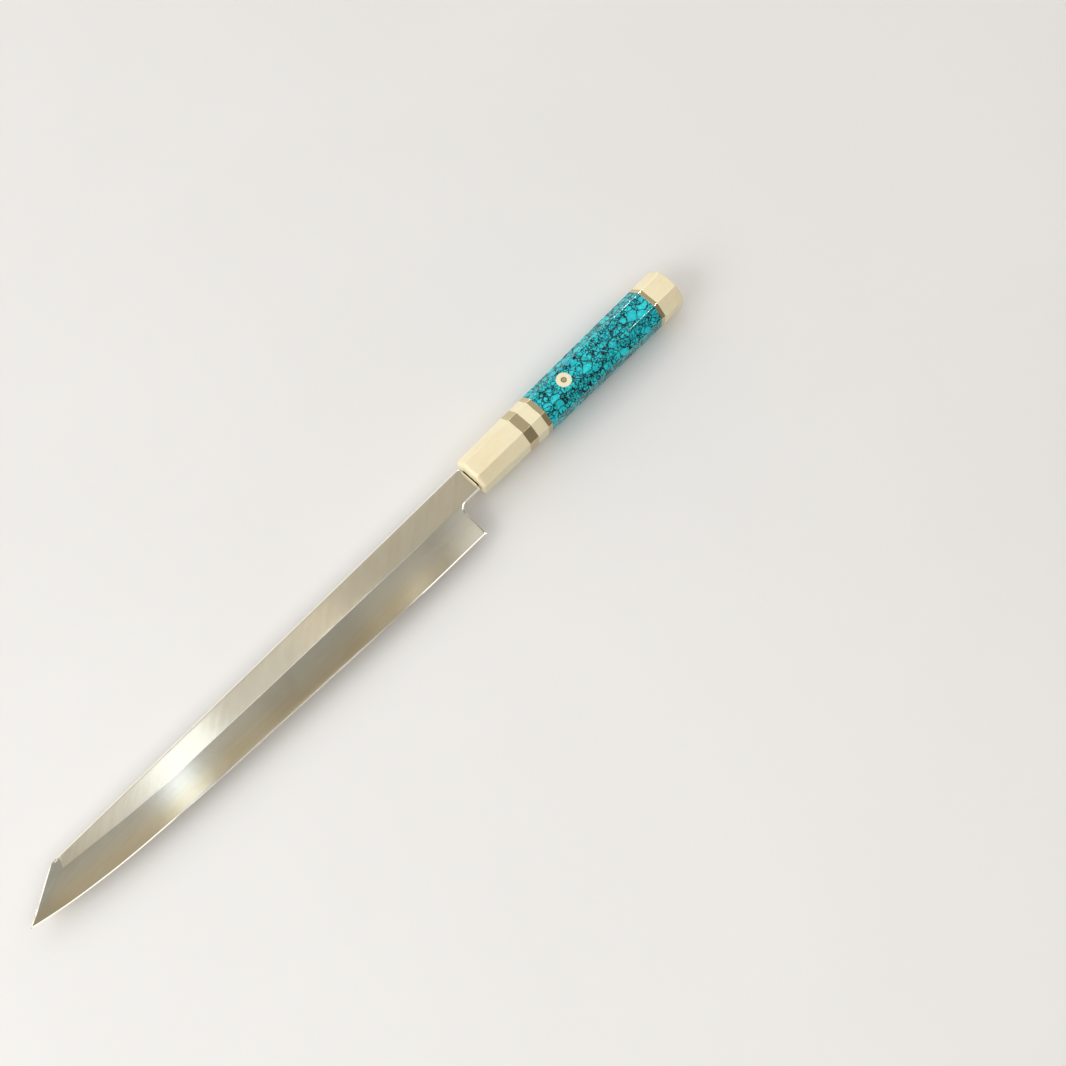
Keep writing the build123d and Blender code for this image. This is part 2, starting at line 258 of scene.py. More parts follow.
def drilled(geometry, centre, turn, radius, length):
    """Cut a round hole through a point, with the drill turned from upright."""
    bar = add(geometry.tree, "GeometryNodeMeshCylinder", {
        "Vertices": ROUND_STEPS, "Radius": radius * MM, "Depth": length * MM})
    placed = add(geometry.tree, "GeometryNodeTransform", {
        "Geometry": out(bar, "Mesh"), "Translation": centre, "Rotation": turn})
    return less(geometry, out(placed))


# %% [markdown]
# The tree itself. `support` gives how far each flat stands from the axis, and `corner_centre`
# where the arc between two flats is centred. The rows run from the middle of the front end, round
# its rim, along the flat, over the rear rim and across the rear end, which may be crowned like the
# butt.

# %% Section tree
section, given = new_tree("Geometry", "tapered octagon section", SECTION_INPUTS, "Geometry")
grid = add(section, "GeometryNodeMeshGrid", {
    "Size X": float(COLUMNS), "Size Y": float(ROWS),
    "Vertices X": COLUMNS + 1, "Vertices Y": ROWS + 1})
grid_x, grid_y, _ = split(out(add(section, "GeometryNodeInputPosition")))
column = (grid_x + COLUMNS / 2).math("ROUND")
row = (grid_y + ROWS / 2).math("ROUND")

# where the row lies: a quarter turn over each rim, then across each end
quarter = pi / 2
front = ((row - FRONT_RIM) / RIM_STEPS).clamped() * quarter
rear = ((row - REAR_RIM) / RIM_STEPS).clamped() * quarter
rear_half = (row - SIDE).clamped()
rear_face = ((row - REAR_FACE) / FACE_STEPS).clamped()
ring_scale = row.clamped() * (1 - rear_face.math("POWER", FACE_POWER))
inset = (
    (FRONT_RIM - row).clamped() * SUPPORT
    + given["Front Rim"] * (1 - front.math("SINE"))
    + given["Rear Rim"] * (1 - rear.math("COSINE"))
)
station = mix(given["Start"], given["End"], rear_half)
taper = (station - FERRULE_X) / (BUTT_X - FERRULE_X)
height, thickness, corner = (
    mix(given["Front " + name], given["Butt " + name], taper)
    for name in ("Height", "Thickness", "Corner"))
half_height, half_thickness = height / 2, thickness / 2
radius = given["Edge Radius"]


def support(angle):
    """How far the flat that faces this way stands from the axis."""
    upright, slanted = angle.math("COSINE"), (angle * 2).math("SINE")
    slanted = slanted * slanted
    straight = half_thickness + (half_height - half_thickness) * upright * upright
    return straight * (slanted * (sqrt(2) - 1) + 1) - slanted * corner / sqrt(2)


def corner_centre(angle):
    """Centre of the arc between the flat at this angle and the next one."""
    here = support(angle) - inset - radius
    there = support(angle + EIGHTH) - inset - radius
    along = (there - here * cos(EIGHTH)) / sin(EIGHTH)
    c, s = angle.math("COSINE"), angle.math("SINE")
    return c * here - s * along, s * here + c * along


eighth = (column / PER_EIGHTH).math("FLOOR")
step = column - eighth * PER_EIGHTH
angle = eighth * EIGHTH
bend = (step / ARC_STEPS).math("MINIMUM", 1.0)
slide_rate = (1 - 2 * FLAT_SUPPORT) / (FLAT_STEPS - 2)
slide = ((step - ARC_STEPS - 1) * slide_rate + FLAT_SUPPORT) * (step - ARC_STEPS).clamped()
facing = angle + bend * EIGHTH
this_y, this_z = corner_centre(angle)
next_y, next_z = corner_centre(angle + EIGHTH)
y = (mix(this_y, next_y, slide) + radius * facing.math("COSINE")) * ring_scale
z = (mix(this_z, next_z, slide) + radius * facing.math("SINE")) * ring_scale

# along the axis: the rear end drops away from its middle by the crown
reach = given["Butt Height"] / 2
off_axis = ((y * y + z * z) / (reach * reach)).math("POWER", DOME_POWER / 2)
end_face = given["End"] - given["Crown"] * off_axis
front_side = (row - FRONT_RIM - RIM_STEPS).clamped() * SUPPORT
rear_side = (REAR_RIM - row).clamped() * SUPPORT
from_front = given["Start"] + given["Front Rim"] * (1 - front.math("COSINE")) + front_side
from_rear = end_face - given["Rear Rim"] * (1 - rear.math("SINE")) - rear_side
x = mix(from_front, from_rear, rear_half)

moved = add(section, "GeometryNodeSetPosition", {
    "Geometry": out(grid, "Mesh"), "Position": in_mm(section, x, y + AXIS_Y, z + AXIS_Z)})
closed = add(section, "GeometryNodeMergeByDistance", {"Geometry": out(moved), "Distance": SEAM_GAP})
solid = add(section, "GeometryNodeFlipFaces", {"Mesh": out(closed)})

# the bore for the dowel, and the ferrule's slot for the tang
bore_start, bore_end, slot_width = given["Bore Start"], given["Bore End"], given["Slot Width"]
bore_middle = in_mm(section, (bore_start + bore_end) * 0.5, AXIS_Y, AXIS_Z)
bored = drilled(
    out(solid), bore_middle, (0, quarter, 0), given["Bore Radius"], bore_end - bore_start)
slot_size = in_mm(section, (given["End"] - given["Start"]) * 2, slot_width.math("MAXIMUM", 1.0),
                  given["Slot Thickness"])
slot_block = add(section, "GeometryNodeMeshCube", {"Size": slot_size})
slot_bar = add(section, "GeometryNodeTransform", {
    "Geometry": out(slot_block, "Mesh"),
    "Translation": in_mm(section, given["Start"], AXIS_Y, AXIS_Z)})
choice = add(section, "GeometryNodeSwitch", {
    "Switch": slot_width.math("GREATER_THAN", 0.0), "False": bored,
    "True": less(bored, out(slot_bar))}, input_type="GEOMETRY")
finished(out(choice), given["Finish"])
print("section tree:", len(section.nodes), "nodes")

# %% [markdown]
# ## From a tree to a plain mesh
# A modifier's named inputs are set by each socket's identifier before the object is first
# evaluated. The result is then copied to a plain mesh, and the modifier goes, because the frame's
# calls and the export want finished meshes. `volume_of` checks that the faces point outwards: it
# is negative if not.

# %% Baking
CREASE = radians(30)


def volume_of(mesh):
    """Volume inside a closed mesh, in cubic centimetres."""
    copy = bmesh.new()
    copy.from_mesh(mesh)
    volume = copy.calc_volume(signed=True)
    open_edges = sum(not edge.is_manifold for edge in copy.edges)
    copy.free()
    return round(volume * 1e6, 2), open_edges


def baked(piece):
    """Turn a piece's modifiers into its mesh, shaded smooth but for true creases."""
    graph = bpy.context.evaluated_depsgraph_get()
    mesh = bpy.data.meshes.new_from_object(piece.evaluated_get(graph))
    piece.modifiers.clear()
    piece.data = mesh
    mesh.polygons.foreach_set("use_smooth", [True] * len(mesh.polygons))
    mesh.set_sharp_from_angle(angle=CREASE)
    return piece


def grown(name, trees):
    """An object shaped by trees, each with the values of its named inputs."""
    piece = new_object(name)
    for tree, values in trees:
        modifier = piece.modifiers.new(tree.name, "NODES")
        modifier.node_group = tree
        for item in tree.interface.items_tree:
            if item.in_out == "INPUT" and item.name in values:
                modifier[item.identifier] = values[item.name]
    return baked(piece)


# %% [markdown]
# ## Finishes come first by name
# Each finish is an empty material for now, so that the pieces can be given theirs as they are
# made. The cells on finishes further down fill them in. Six of them belong to slots of the CAD
# model.

# %% Finish names
SLOTS = {
    "polished ivory": "ivory", "nickel silver": "ring_metal", "turquoise": "turquoise",
    "ground iron": "blade_iron", "ground steel": "edge_steel", "pin metal": "pin_metal",
}
FINISHES = {
    name: bpy.data.materials.new(name) for name in (*SLOTS, "turned wood", "floor paper")}
for material in FINISHES.values():
    material.use_nodes = True


def stands_for(piece, node):
    """Let a piece ride on the knife in place of a CAD node, which is hidden."""
    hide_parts(node)
    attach(piece, "root")
    volume, open_edges = volume_of(piece.data)
    print(f"{piece.name}: {len(piece.data.polygons)} faces, {volume} cm3, open edges {open_edges}")


# %% [markdown]
# ## The seven sections
# One call each. The ferrule's front is rounded where the forefinger meets it, the butt is crowned,
# and the joints between the sections have only a hairline, because they were filed flush.

# %% Seven sections
BORE_START, BORE_END = 90.85, 229.45
# piece, CAD node, finish, both ends along X, and the inputs that differ
SECTIONS = (
    ("ivory_ferrule", "ferrule", "polished ivory", 78.85, 113.85,
     {"Front Rim": 2.0, "Bore Start": BORE_START, "Slot Width": 11.2}),
    ("nickel_front_ring", "front_ring", "nickel silver", 113.85, 120.15, {}),
    ("ivory_collar", "collar", "polished ivory", 120.15, 127.85, {}),
    ("nickel_thin_ring", "thin_ring", "nickel silver", 127.85, 131.05, {}),
    ("turquoise_body", "handle_body", "turquoise", 131.05, 217.75, {}),
    ("nickel_rear_ring", "rear_ring", "nickel silver", 217.75, 220.45, {}),
    ("ivory_end_cap", "end_cap", "polished ivory", 220.45, 237.25,
     {"Rear Rim": 0.9, "Crown": 1.85, "Bore End": BORE_END}),
)
PIN_SEATS = {"Pin Radius": 1.68, "Seat Radius": 4.4, "Seat Floor": 8.13}
SEAT_HEIGHT, DRILL_LENGTH = 10.0, 40.0      # long enough to leave the stone
BORE_PAST = 2.0           # mm by which the bore passes both ends of a section

# %% [markdown]
# The turquoise body is also drilled through for the cross pin, with a wider flat-bottomed seat for
# the ivory inlay on each side. A second, smaller tree does that after the first.

# %% Pin seats
SPIN = (0, 0, 0.023)      # a small turn, so that no drill's corner meets an edge of the octagon
seat_inputs = {"Geometry": "Geometry", **PIN_SEATS, "Finish": "Material"}
seats, given = new_tree("Geometry", "pin seats", seat_inputs, "Geometry")
above = given["Seat Floor"] + SEAT_HEIGHT / 2
deep = given["Geometry"]
for z, size, length in ((AXIS_Z, "Pin Radius", DRILL_LENGTH),
                        (AXIS_Z + above, "Seat Radius", SEAT_HEIGHT),
                        (AXIS_Z - above, "Seat Radius", SEAT_HEIGHT)):
    deep = drilled(deep, in_mm(seats, PIN_X, AXIS_Y, z), SPIN, given[size], length)
finished(deep, given["Finish"])

for name, node, finish, start, end, extra in SECTIONS:
    material = {"Finish": FINISHES[finish]}
    bore = {"Bore Start": start - BORE_PAST, "Bore End": end + BORE_PAST}
    trees = [(section, {"Start": start, "End": end, **bore, **extra, **material})]
    if node == "handle_body":
        trees.append((seats, {**PIN_SEATS, **material}))
    stands_for(grown(name, trees), node)


# %% [markdown]
# ## Pin and inlays
# The cross pin is a round bar through the whole handle, and on each side an ivory plug is let in
# round it. Both were filed flush with the flat, which leans a third of a degree with the taper.
# They are turned shapes, so each is a profile of radius and height spun about the pin's axis. A
# hairline chamfer at each rim leaves the fine line that shows where two pieces meet.

# %% Pin and inlays
HAIRLINE = 0.06
PIN_RADIUS, INLAY_RADIUS, INLAY_DEPTH, PIN_GAP = 1.65, 4.37, 2.8, 0.02
FRONT_HALF, BUTT_HALF = SECTION_INPUTS["Front Thickness"] / 2, SECTION_INPUTS["Butt Thickness"] / 2
FLAT_LEAN = (BUTT_HALF - FRONT_HALF) / (BUTT_X - FERRULE_X)
FLAT_TOP = FRONT_HALF + (PIN_X - FERRULE_X) * FLAT_LEAN     # flat above the axis at the pin


def turned(name, profile, finish):
    """Spin a closed profile of (radius, height above the axis) and lean its ends with the flats."""
    shape = bmesh.new()
    rings = []
    for radius_mm, height in profile:
        ring = []
        for turn in range(ROUND_STEPS if radius_mm else 1):
            angle = 2 * pi * turn / ROUND_STEPS
            across, up = radius_mm * cos(angle), radius_mm * sin(angle)
            lean = across * FLAT_LEAN * (1 if height > 0 else -1) * (abs(height) > FLAT_TOP - 1)
            place = (PIN_X + across, AXIS_Y + up, AXIS_Z + height + lean)
            ring.append(shape.verts.new([value * MM for value in place]))
        rings.append(ring)
    for low, high in zip(rings, rings[1:] + (rings[:1] if profile[0][0] else [])):
        for turn in range(ROUND_STEPS):
            after = (turn + 1) % ROUND_STEPS
            corners = [low[turn % len(low)], low[after % len(low)],
                       high[after % len(high)], high[turn % len(high)]]
            shape.faces.new(list(dict.fromkeys(corners)))
    bmesh.ops.recalc_face_normals(shape, faces=shape.faces)
    piece = new_object(name)
    shape.to_mesh(piece.data)
    shape.free()
    piece.data.materials.append(FINISHES[finish])
    return baked(piece)


half_pin = [(PIN_RADIUS, FLAT_TOP - HAIRLINE), (PIN_RADIUS - HAIRLINE, FLAT_TOP), (0, FLAT_TOP)]
pin_profile = [(radius_mm, -height) for radius_mm, height in reversed(half_pin)] + half_pin
stands_for(turned("cross_pin", pin_profile, "pin metal"), "pin")
inner, outer = PIN_RADIUS + PIN_GAP, INLAY_RADIUS
for side, way in ((1, "left"), (-1, "right")):
    top, bottom, ease = side * FLAT_TOP, side * (FLAT_TOP - INLAY_DEPTH), side * HAIRLINE
    inlay_profile = [(inner, bottom), (outer, bottom), (outer, top - ease), (outer - HAIRLINE, top),
                     (inner + HAIRLINE, top), (inner, top - ease)]
    inlay = turned("ivory_inlay_" + way, inlay_profile, "polished ivory")
    stands_for(inlay, "pin_collar_" + way)


# %% [markdown]
# ## Blade: the drawing
# The blade is one forging: a straight spine, a clipped point, a wide ground bevel on the left with
# a crisp ridge, a small facet that thins the point, a narrow honed bevel at the edge, and a
# shallow hollow ground into the back. A subdivided or bevelled box can't hold such long shallow
# planes, and a mirror-like metal shows every ripple, so the blade is drawn in plan and its two
# faces are worked out as heights over that plan, from the same measures as the CAD model.

# %% Blade measures
BLADE_LENGTH, HEEL_HEIGHT = HEEL_X - TIP_X, SPINE_Y - EDGE_Y
POINT_RISE = POINT_Y - EDGE_Y
NECK_LOW_Y, NECK_RADIUS, SHOULDER_RADIUS = SPINE_Y - 16.35, 4.5, 1.4
CLIP_LENGTH, TIP_DROP, CLIP_BULGE = 27.6, 16.4, 0.35
CORNER_ALONG, CORNER_DOWN = 3.6, 0.07     # the rounded corner: mm of the spine, share of the clip
CLIP_X = TIP_X + CLIP_LENGTH
SPINE_THICKNESS, CLIP_THICKNESS = 4.0, 2.2
EDGE_WIDTH, EDGE_SHOULDER, EDGE_FLAT, SWELL = 0.6, 0.35, 0.1, 0.12
SPINE_SOFT, NECK_SOFT = 0.5, 0.75
CHAMFER_WIDTH, CHAMFER_DROP = 0.28, 0.12
# the facet: from the clip's corner back to its end on the spine, its lower corner from there, and
# its height at the point
FACET_BACK, FACET_LEAN, FACET_DEPTH, FACET_TIP = 6.0, 3.3, 5.9, 0.5
# along the blade from the heel, rise of the edge, drop of the ridge, as shares
BEVEL_SHARES = np.array((
    (-0.03, -0.004, 0.467), (0.00, 0.000, 0.457), (0.12, 0.018, 0.438), (0.28, 0.083, 0.414),
    (0.50, 0.220, 0.380), (0.70, 0.377, 0.330), (0.85, 0.568, 0.219), (0.94, 0.786, 0.120),
    (1.00, 1.000, 0.000), (1.03, 1.130, -0.070),
))


def through(table, at, column=1):
    """A smooth curve through a table's points, each with a slope that suits both neighbours."""
    knots, values = table[:, 0], table[:, column]
    gaps = np.diff(knots)
    rises = np.diff(values) / gaps
    inner = (gaps[:-1] * rises[1:] + gaps[1:] * rises[:-1]) / (gaps[:-1] + gaps[1:])
    slopes = np.concatenate((rises[:1], inner, rises[-1:]))
    spot = np.clip(np.searchsorted(knots, at) - 1, 0, len(gaps) - 1)
    t = (at - knots[spot]) / gaps[spot]
    return (
        (2 * t ** 3 - 3 * t ** 2 + 1) * values[spot]
        + (t ** 3 - 2 * t ** 2 + t) * gaps[spot] * slopes[spot]
        + (3 * t ** 2 - 2 * t ** 3) * values[spot + 1]
        + (t ** 3 - t ** 2) * gaps[spot] * slopes[spot + 1]
    )


def edge_line(x):
    """Y of the edge at a station."""
    along = (HEEL_X - np.asarray(x, float)) / BLADE_LENGTH
    return EDGE_Y + POINT_RISE * through(BEVEL_SHARES, along)


def ridge_line(x):
    """Y of the ridge at a station."""
    along = (HEEL_X - np.asarray(x, float)) / BLADE_LENGTH
    return SPINE_Y - HEEL_HEIGHT * through(BEVEL_SHARES, along, 2)


def clip_line(x):
    """Y of the clipped line at a station."""
    return POINT_Y + (x - TIP_X) * TIP_DROP / CLIP_LENGTH


def flat_height(x):
    """Z of the flat above the ridge, which thins towards the point."""
    share = (SHOULDER_X - x) / (SHOULDER_X - CLIP_X)
    return BACK_Z + SPINE_THICKNESS + (CLIP_THICKNESS - SPINE_THICKNESS) * share


print("heel height, mm:", HEEL_HEIGHT, " ridge at the heel:", round(float(ridge_line(HEEL_X)), 2))

# %% [markdown]
# ### The two faces as heights
# `smooth_min` takes the lower of two surfaces and blends them where they meet, so each ridge is a
# true crease with a tiny radius. That radius is what catches the thin line of light along a real
# ridge.

# %% Faces of the blade
# mm over which two faces blend, so that each crease has a tiny radius
RIDGE_BLEND, FACET_BLEND, CHAMFER_BLEND, HONED_BLEND, HOLLOW_BLEND = 0.03, 0.012, 0.03, 0.02, 0.01


def smooth_min(a, b, reach):
    """The lower of two heights, blended where they are closer than reach."""
    overlap = np.maximum(reach - np.abs(a - b), 0) / reach
    return np.minimum(a, b) - overlap ** 2 * reach / 4


facet_top = Vector((CLIP_X + FACET_BACK, SPINE_Y, flat_height(CLIP_X + FACET_BACK)))
facet_x = facet_top.x - FACET_LEAN
facet_low = Vector((facet_x, SPINE_Y - FACET_DEPTH, flat_height(facet_x)))
facet_end = Vector((TIP_X, POINT_Y, BACK_Z + FACET_TIP))
facet_normal = (facet_end - facet_top).cross(facet_low - facet_top)
clip_way = Vector((CLIP_LENGTH, TIP_DROP, 0)).normalized()


def plane_height(origin, normal, x, y):
    """Z of a plane over a place in plan."""
    return origin.z - ((x - origin.x) * normal.x + (y - origin.y) * normal.y) / normal.z


def facet_height(x, y):
    """Z of the facet that thins the point."""
    return plane_height(facet_top, facet_normal, x, y)


inner_spot = Vector((CLIP_X, SPINE_Y, 0)) + Vector((clip_way.y, -clip_way.x, 0)) * CHAMFER_WIDTH
inner_spot.z = facet_height(inner_spot.x, inner_spot.y)
outer_spot = Vector((CLIP_X, SPINE_Y, facet_height(CLIP_X, SPINE_Y) - CHAMFER_DROP))
point_spot = Vector((TIP_X, POINT_Y, BACK_Z + EDGE_FLAT))
chamfer_normal = (point_spot - outer_spot).cross(inner_spot - outer_spot)


def chamfer_height(x, y):
    """Z of the chamfer along the clip."""
    return plane_height(outer_spot, chamfer_normal, x, y)


def bevel_height(x, y):
    """Z of the ground bevel, slightly convex, carried straight on past the ridge."""
    foot = edge_line(x) + EDGE_WIDTH
    share = (y - foot) / (ridge_line(x) - foot)
    arch = np.clip(share, 0, 1)
    rise = flat_height(x) - BACK_Z - EDGE_SHOULDER
    return BACK_Z + EDGE_SHOULDER + rise * share + 4 * SWELL * arch * (1 - arch)


def honed_height(x, y):
    """Z of the narrow honed bevel."""
    return BACK_Z + EDGE_FLAT + (EDGE_SHOULDER - EDGE_FLAT) * (y - edge_line(x)) / EDGE_WIDTH


def front_height(x, y):
    """Z of the whole bevelled face."""
    height = smooth_min(flat_height(x), bevel_height(x, y), RIDGE_BLEND)
    height = smooth_min(height, facet_height(x, y), FACET_BLEND)
    height = smooth_min(height, chamfer_height(x, y), CHAMFER_BLEND)
    return smooth_min(height, honed_height(x, y), HONED_BLEND)


HOLLOW_A = np.array((TIP_X + 17.0, SPINE_Y - 12.3))      # its end near the point
HOLLOW_B = np.array((HEEL_X - 5.0, SPINE_Y - 17.9))      # its end near the heel
HOLLOW_SPAN = float(np.linalg.norm(HOLLOW_B - HOLLOW_A))
HOLLOW_PAST = 60          # mm past both ends, where the depths stop
HOLLOW_DEPTHS = np.array((
    (-HOLLOW_PAST, -0.5), (0, -0.1), (26, 0.08), (HOLLOW_SPAN - 26, 0.35), (HOLLOW_SPAN, -0.1),
    (HOLLOW_SPAN + HOLLOW_PAST, -0.9)))
HOLLOW_WIDTH, HOLLOW_DEEPEST = 30.0, 0.35
WHEEL_RADIUS = HOLLOW_WIDTH ** 2 / (8 * HOLLOW_DEEPEST)


def back_height(x, y):
    """Z of the back: flat round the rim, with the long shallow hollow in it."""
    way = (HOLLOW_B - HOLLOW_A) / HOLLOW_SPAN
    along = (x - HOLLOW_A[0]) * way[0] + (y - HOLLOW_A[1]) * way[1]
    across = (y - HOLLOW_A[1]) * way[0] - (x - HOLLOW_A[0]) * way[1]
    depth = through(HOLLOW_DEPTHS, np.clip(along, -HOLLOW_PAST, HOLLOW_SPAN + HOLLOW_PAST))
    return BACK_Z - smooth_min(0.0, across ** 2 / (2 * WHEEL_RADIUS) - depth, HOLLOW_BLEND)


# %% [markdown]
# ### The plan
# The outline is drawn once round, with the blade on its left. Lines just inside it carry the
# softened edges, and more lines follow the ridge, the honed bevel and the facet on the point, so
# that every crease has vertices exactly on it. A constrained Delaunay triangulation joins them
# all.

# %% Plan of the blade
GAP = 0.8                 # mm between points on short straight lines
FINE_X, COARSE_X = -195, 50       # stations are 2 mm apart between these and 1 mm apart beyond them


def line_of(x, y):
    """A line from its stations and its heights in plan."""
    return np.stack((x, np.broadcast_to(y, x.shape)), 1)


def run(x0, y0, x1, y1):
    """Points along a straight line."""
    count = max(2, int(np.hypot(x1 - x0, y1 - y0) / GAP) + 1)
    return np.linspace((x0, y0), (x1, y1), count)


def arc(x, y, radius, start, stop, count):
    """Points round an arc, angles in degrees."""
    turn = np.radians(np.linspace(start, stop, count))
    return line_of(x + radius * np.cos(turn), y + radius * np.sin(turn))


def joined(*lines):
    """Lines end to end, without their doubled points."""
    line = np.concatenate(lines)
    keep = np.concatenate(([True], np.linalg.norm(np.diff(line, axis=0), axis=1) > 1e-4))
    return line[keep]


def beside(line, distance):
    """The same line moved to its left."""
    way = np.gradient(line, axis=0)
    way /= np.linalg.norm(way, axis=1)[:, None]
    return line + line_of(-way[:, 1], way[:, 0]) * distance


stations = np.unique(np.concatenate((
    np.arange(TIP_X, FINE_X, 1.0), np.arange(FINE_X, COARSE_X, 2.0),
    np.arange(COARSE_X, HEEL_X, 1.0), [HEEL_X])))
edge_side = line_of(stations, edge_line(stations))
notch_side = joined(
    run(HEEL_X, EDGE_Y, HEEL_X, NECK_LOW_Y - NECK_RADIUS),
    arc(HEEL_X + NECK_RADIUS, NECK_LOW_Y - NECK_RADIUS, NECK_RADIUS, 180, 90, 14),
    run(HEEL_X + NECK_RADIUS, NECK_LOW_Y, SHOULDER_X, NECK_LOW_Y))
corner_start = CLIP_X + CORNER_ALONG
spine_side = joined(
    run(SHOULDER_X, NECK_LOW_Y, SHOULDER_X, SPINE_Y - SHOULDER_RADIUS),
    arc(SHOULDER_X - SHOULDER_RADIUS, SPINE_Y - SHOULDER_RADIUS, SHOULDER_RADIUS, 0, 90, 8),
    line_of(np.arange(SHOULDER_X - SHOULDER_RADIUS, corner_start + 1, -2.0), SPINE_Y),
    [(corner_start, SPINE_Y)])

# the clip swells a little, and a curve with its middle point at the bare corner rounds that off
clip_share = np.linspace(CORNER_DOWN, 1, 28)[:, None]
clip_ends = np.array(((CLIP_X, SPINE_Y), (TIP_X, POINT_Y)))
clip_run = (
    mix(clip_ends[0], clip_ends[1], clip_share)
    + np.array((-clip_way.y, clip_way.x)) * 4 * CLIP_BULGE * clip_share * (1 - clip_share))
turn = np.linspace(0, 1, 9)[:, None]
corner_run = (
    (1 - turn) ** 2 * spine_side[-1] + 2 * turn * (1 - turn) * clip_ends[0]
    + turn ** 2 * clip_run[0])
clip_side = joined(corner_run, clip_run)
outline = joined(edge_side, notch_side, spine_side, clip_side)[:-1]
print("outline:", len(outline), "points")

# %% [markdown]
# ### Lines inside the plan
# `crossing` finds, station by station, where one surface drops below another: the facet's lower
# line and the chamfer along the clip aren't straight, because they are cut into the convex bevel.

# %% Lines inside the plan
NECK_X = 66.0             # the ridge ends here, under the neck


def crossing(upper, lower, x):
    """Y at which one height falls below another, for each station, found by halving."""
    low, high = edge_line(x) + EDGE_WIDTH, clip_line(x) + 1
    for _ in range(40):
        middle = (low + high) / 2
        above = upper(x, middle) > lower(x, middle)
        low, high = np.where(above, low, middle), np.where(above, middle, high)
    return (low + high) / 2


lines = []
for share in (0.04, 0.15, 0.3, 0.5, 0.75, 1.0):
    lines += [beside(spine_side, share * SPINE_SOFT), beside(notch_side, share * NECK_SOFT)]
lines += [edge_side + (0, rise) for rise in (0.2, 0.4, 0.54, 0.6, 0.66, 0.75)]
ridge_x = np.concatenate((np.arange(facet_low.x, NECK_X, 2.0), [NECK_X]))
for offset in (-0.3, -0.16, -0.06, 0.04, 0.14):
    lines.append(line_of(ridge_x, ridge_line(ridge_x) + offset))
facet_x = np.arange(TIP_X + 1, facet_low.x, 0.8)
facet_foot = crossing(bevel_height, facet_height, facet_x)
for offset in (-0.25, 0, 0.25):
    lines.append(line_of(facet_x, facet_foot + offset))
    facet_ends = (facet_top.x + offset, SPINE_Y - 0.5), (facet_low.x + offset, facet_low.y)
    lines.append(np.array(facet_ends))
chamfer_x = np.arange(TIP_X + 0.6, CLIP_X + 2.4, 0.6)
chamfer_foot = crossing(
    lambda x, y: np.minimum(facet_height(x, y), bevel_height(x, y)), chamfer_height, chamfer_x)
lines += [line_of(chamfer_x, chamfer_foot + offset) for offset in (-0.2, -0.07, 0, 0.07)]
print("lines inside the plan:", len(lines))

# %% [markdown]
# ### Triangulate and raise
# Plain points fill the faces between the lines. Both faces use the same triangles, the back one
# turned over, and a wall of quads joins their rims, so the forging is closed by construction.

# %% Forging
FILL_STEP, BEVEL_FILL, FLAT_FILL, NECK_FILL = 2.0, 13, 8, 1.5     # mm or points between the lines
EASE_LIMIT = 0.42         # of the thickness, so that both eased faces never meet

points = [outline]
for x in np.arange(TIP_X + 3, NECK_X, FILL_STEP):
    foot, ridge = float(edge_line(x)) + 0.9, min(float(ridge_line(x)), float(clip_line(x)))
    top = min(SPINE_Y - 0.6, float(clip_line(x)) - 1)
    points.append([(x, y) for y in np.linspace(foot, ridge - 0.5, BEVEL_FILL)[1:-1] if y < top])
    points.append([(x, y) for y in np.linspace(ridge + 0.3, top, FLAT_FILL)[1:-1] if y > ridge])
points.append([(x, y) for x in np.arange(NECK_X + 1.5, 78, FILL_STEP)
               for y in np.arange(NECK_LOW_Y + 1, SPINE_Y - 0.6, NECK_FILL)])
edges, count = [(i, (i + 1) % len(outline)) for i in range(len(outline))], sum(map(len, points))
for line in lines:
    edges += [(count + i, count + i + 1) for i in range(len(line) - 1)]
    points.append(line)
    count += len(line)
flat_points = [Vector(point) for group in points for point in group]
plan, _, triangles, *_ = delaunay_2d_cdt(flat_points, edges, [list(range(len(outline)))], 1, 1e-3)
plan = np.array([tuple(point) for point in plan])
triangles = np.array(triangles)
print("plan:", len(plan), "points,", len(triangles), "triangles")


def distance_to(line, spots):
    """Distance from each spot to a line of points."""
    best = np.full(len(spots), np.inf)
    for a, b in zip(line[:-1], line[1:]):
        way = b - a
        share = np.clip(((spots - a) @ way) / (way @ way), 0, 1)
        best = np.minimum(best, np.linalg.norm(spots - a - share[:, None] * way, axis=1))
    return best


def softened(line, soft):
    """How far a rounded edge along a line drops below the face."""
    inside = np.clip(soft - distance_to(line, plan), 0, soft)
    return soft - np.sqrt(soft ** 2 - inside ** 2)


back_z = back_height(*plan.T)
front_z = np.maximum(front_height(*plan.T), back_z + EDGE_FLAT / 2)
easing = np.maximum(softened(spine_side, SPINE_SOFT), softened(notch_side, NECK_SOFT))
easing = np.minimum(easing, (front_z - back_z) * EASE_LIMIT)
front_z, back_z = front_z - easing, back_z + easing
thick = front_z - back_z
print("thickest and thinnest, mm:", round(float(thick.max()), 2), round(float(thick.min()), 3))

# %% Forging as a mesh
used = np.unique(triangles)
slot_of = np.full(len(plan), -1)
slot_of[used] = np.arange(len(used))
triangles = slot_of[triangles]
sides = np.concatenate((triangles[:, (0, 1)], triangles[:, (1, 2)], triangles[:, (2, 0)]))
known = {(int(a), int(b)) for a, b in sides}
rim = [(a, b) for a, b in known if (b, a) not in known]
corners = np.concatenate([np.column_stack((plan[used], z[used])) for z in (front_z, back_z)]) * MM
shift = len(used)
faces = [tuple(map(int, t)) for t in triangles]
faces += [(c + shift, b + shift, a + shift) for a, b, c in faces]
faces += [(b, a, a + shift, b + shift) for a, b in rim]
forging = new_object("forging")
forging.data.from_pydata([tuple(corner) for corner in corners], [], faces)
print("forging:", len(faces), "faces, volume and open edges", volume_of(forging.data))

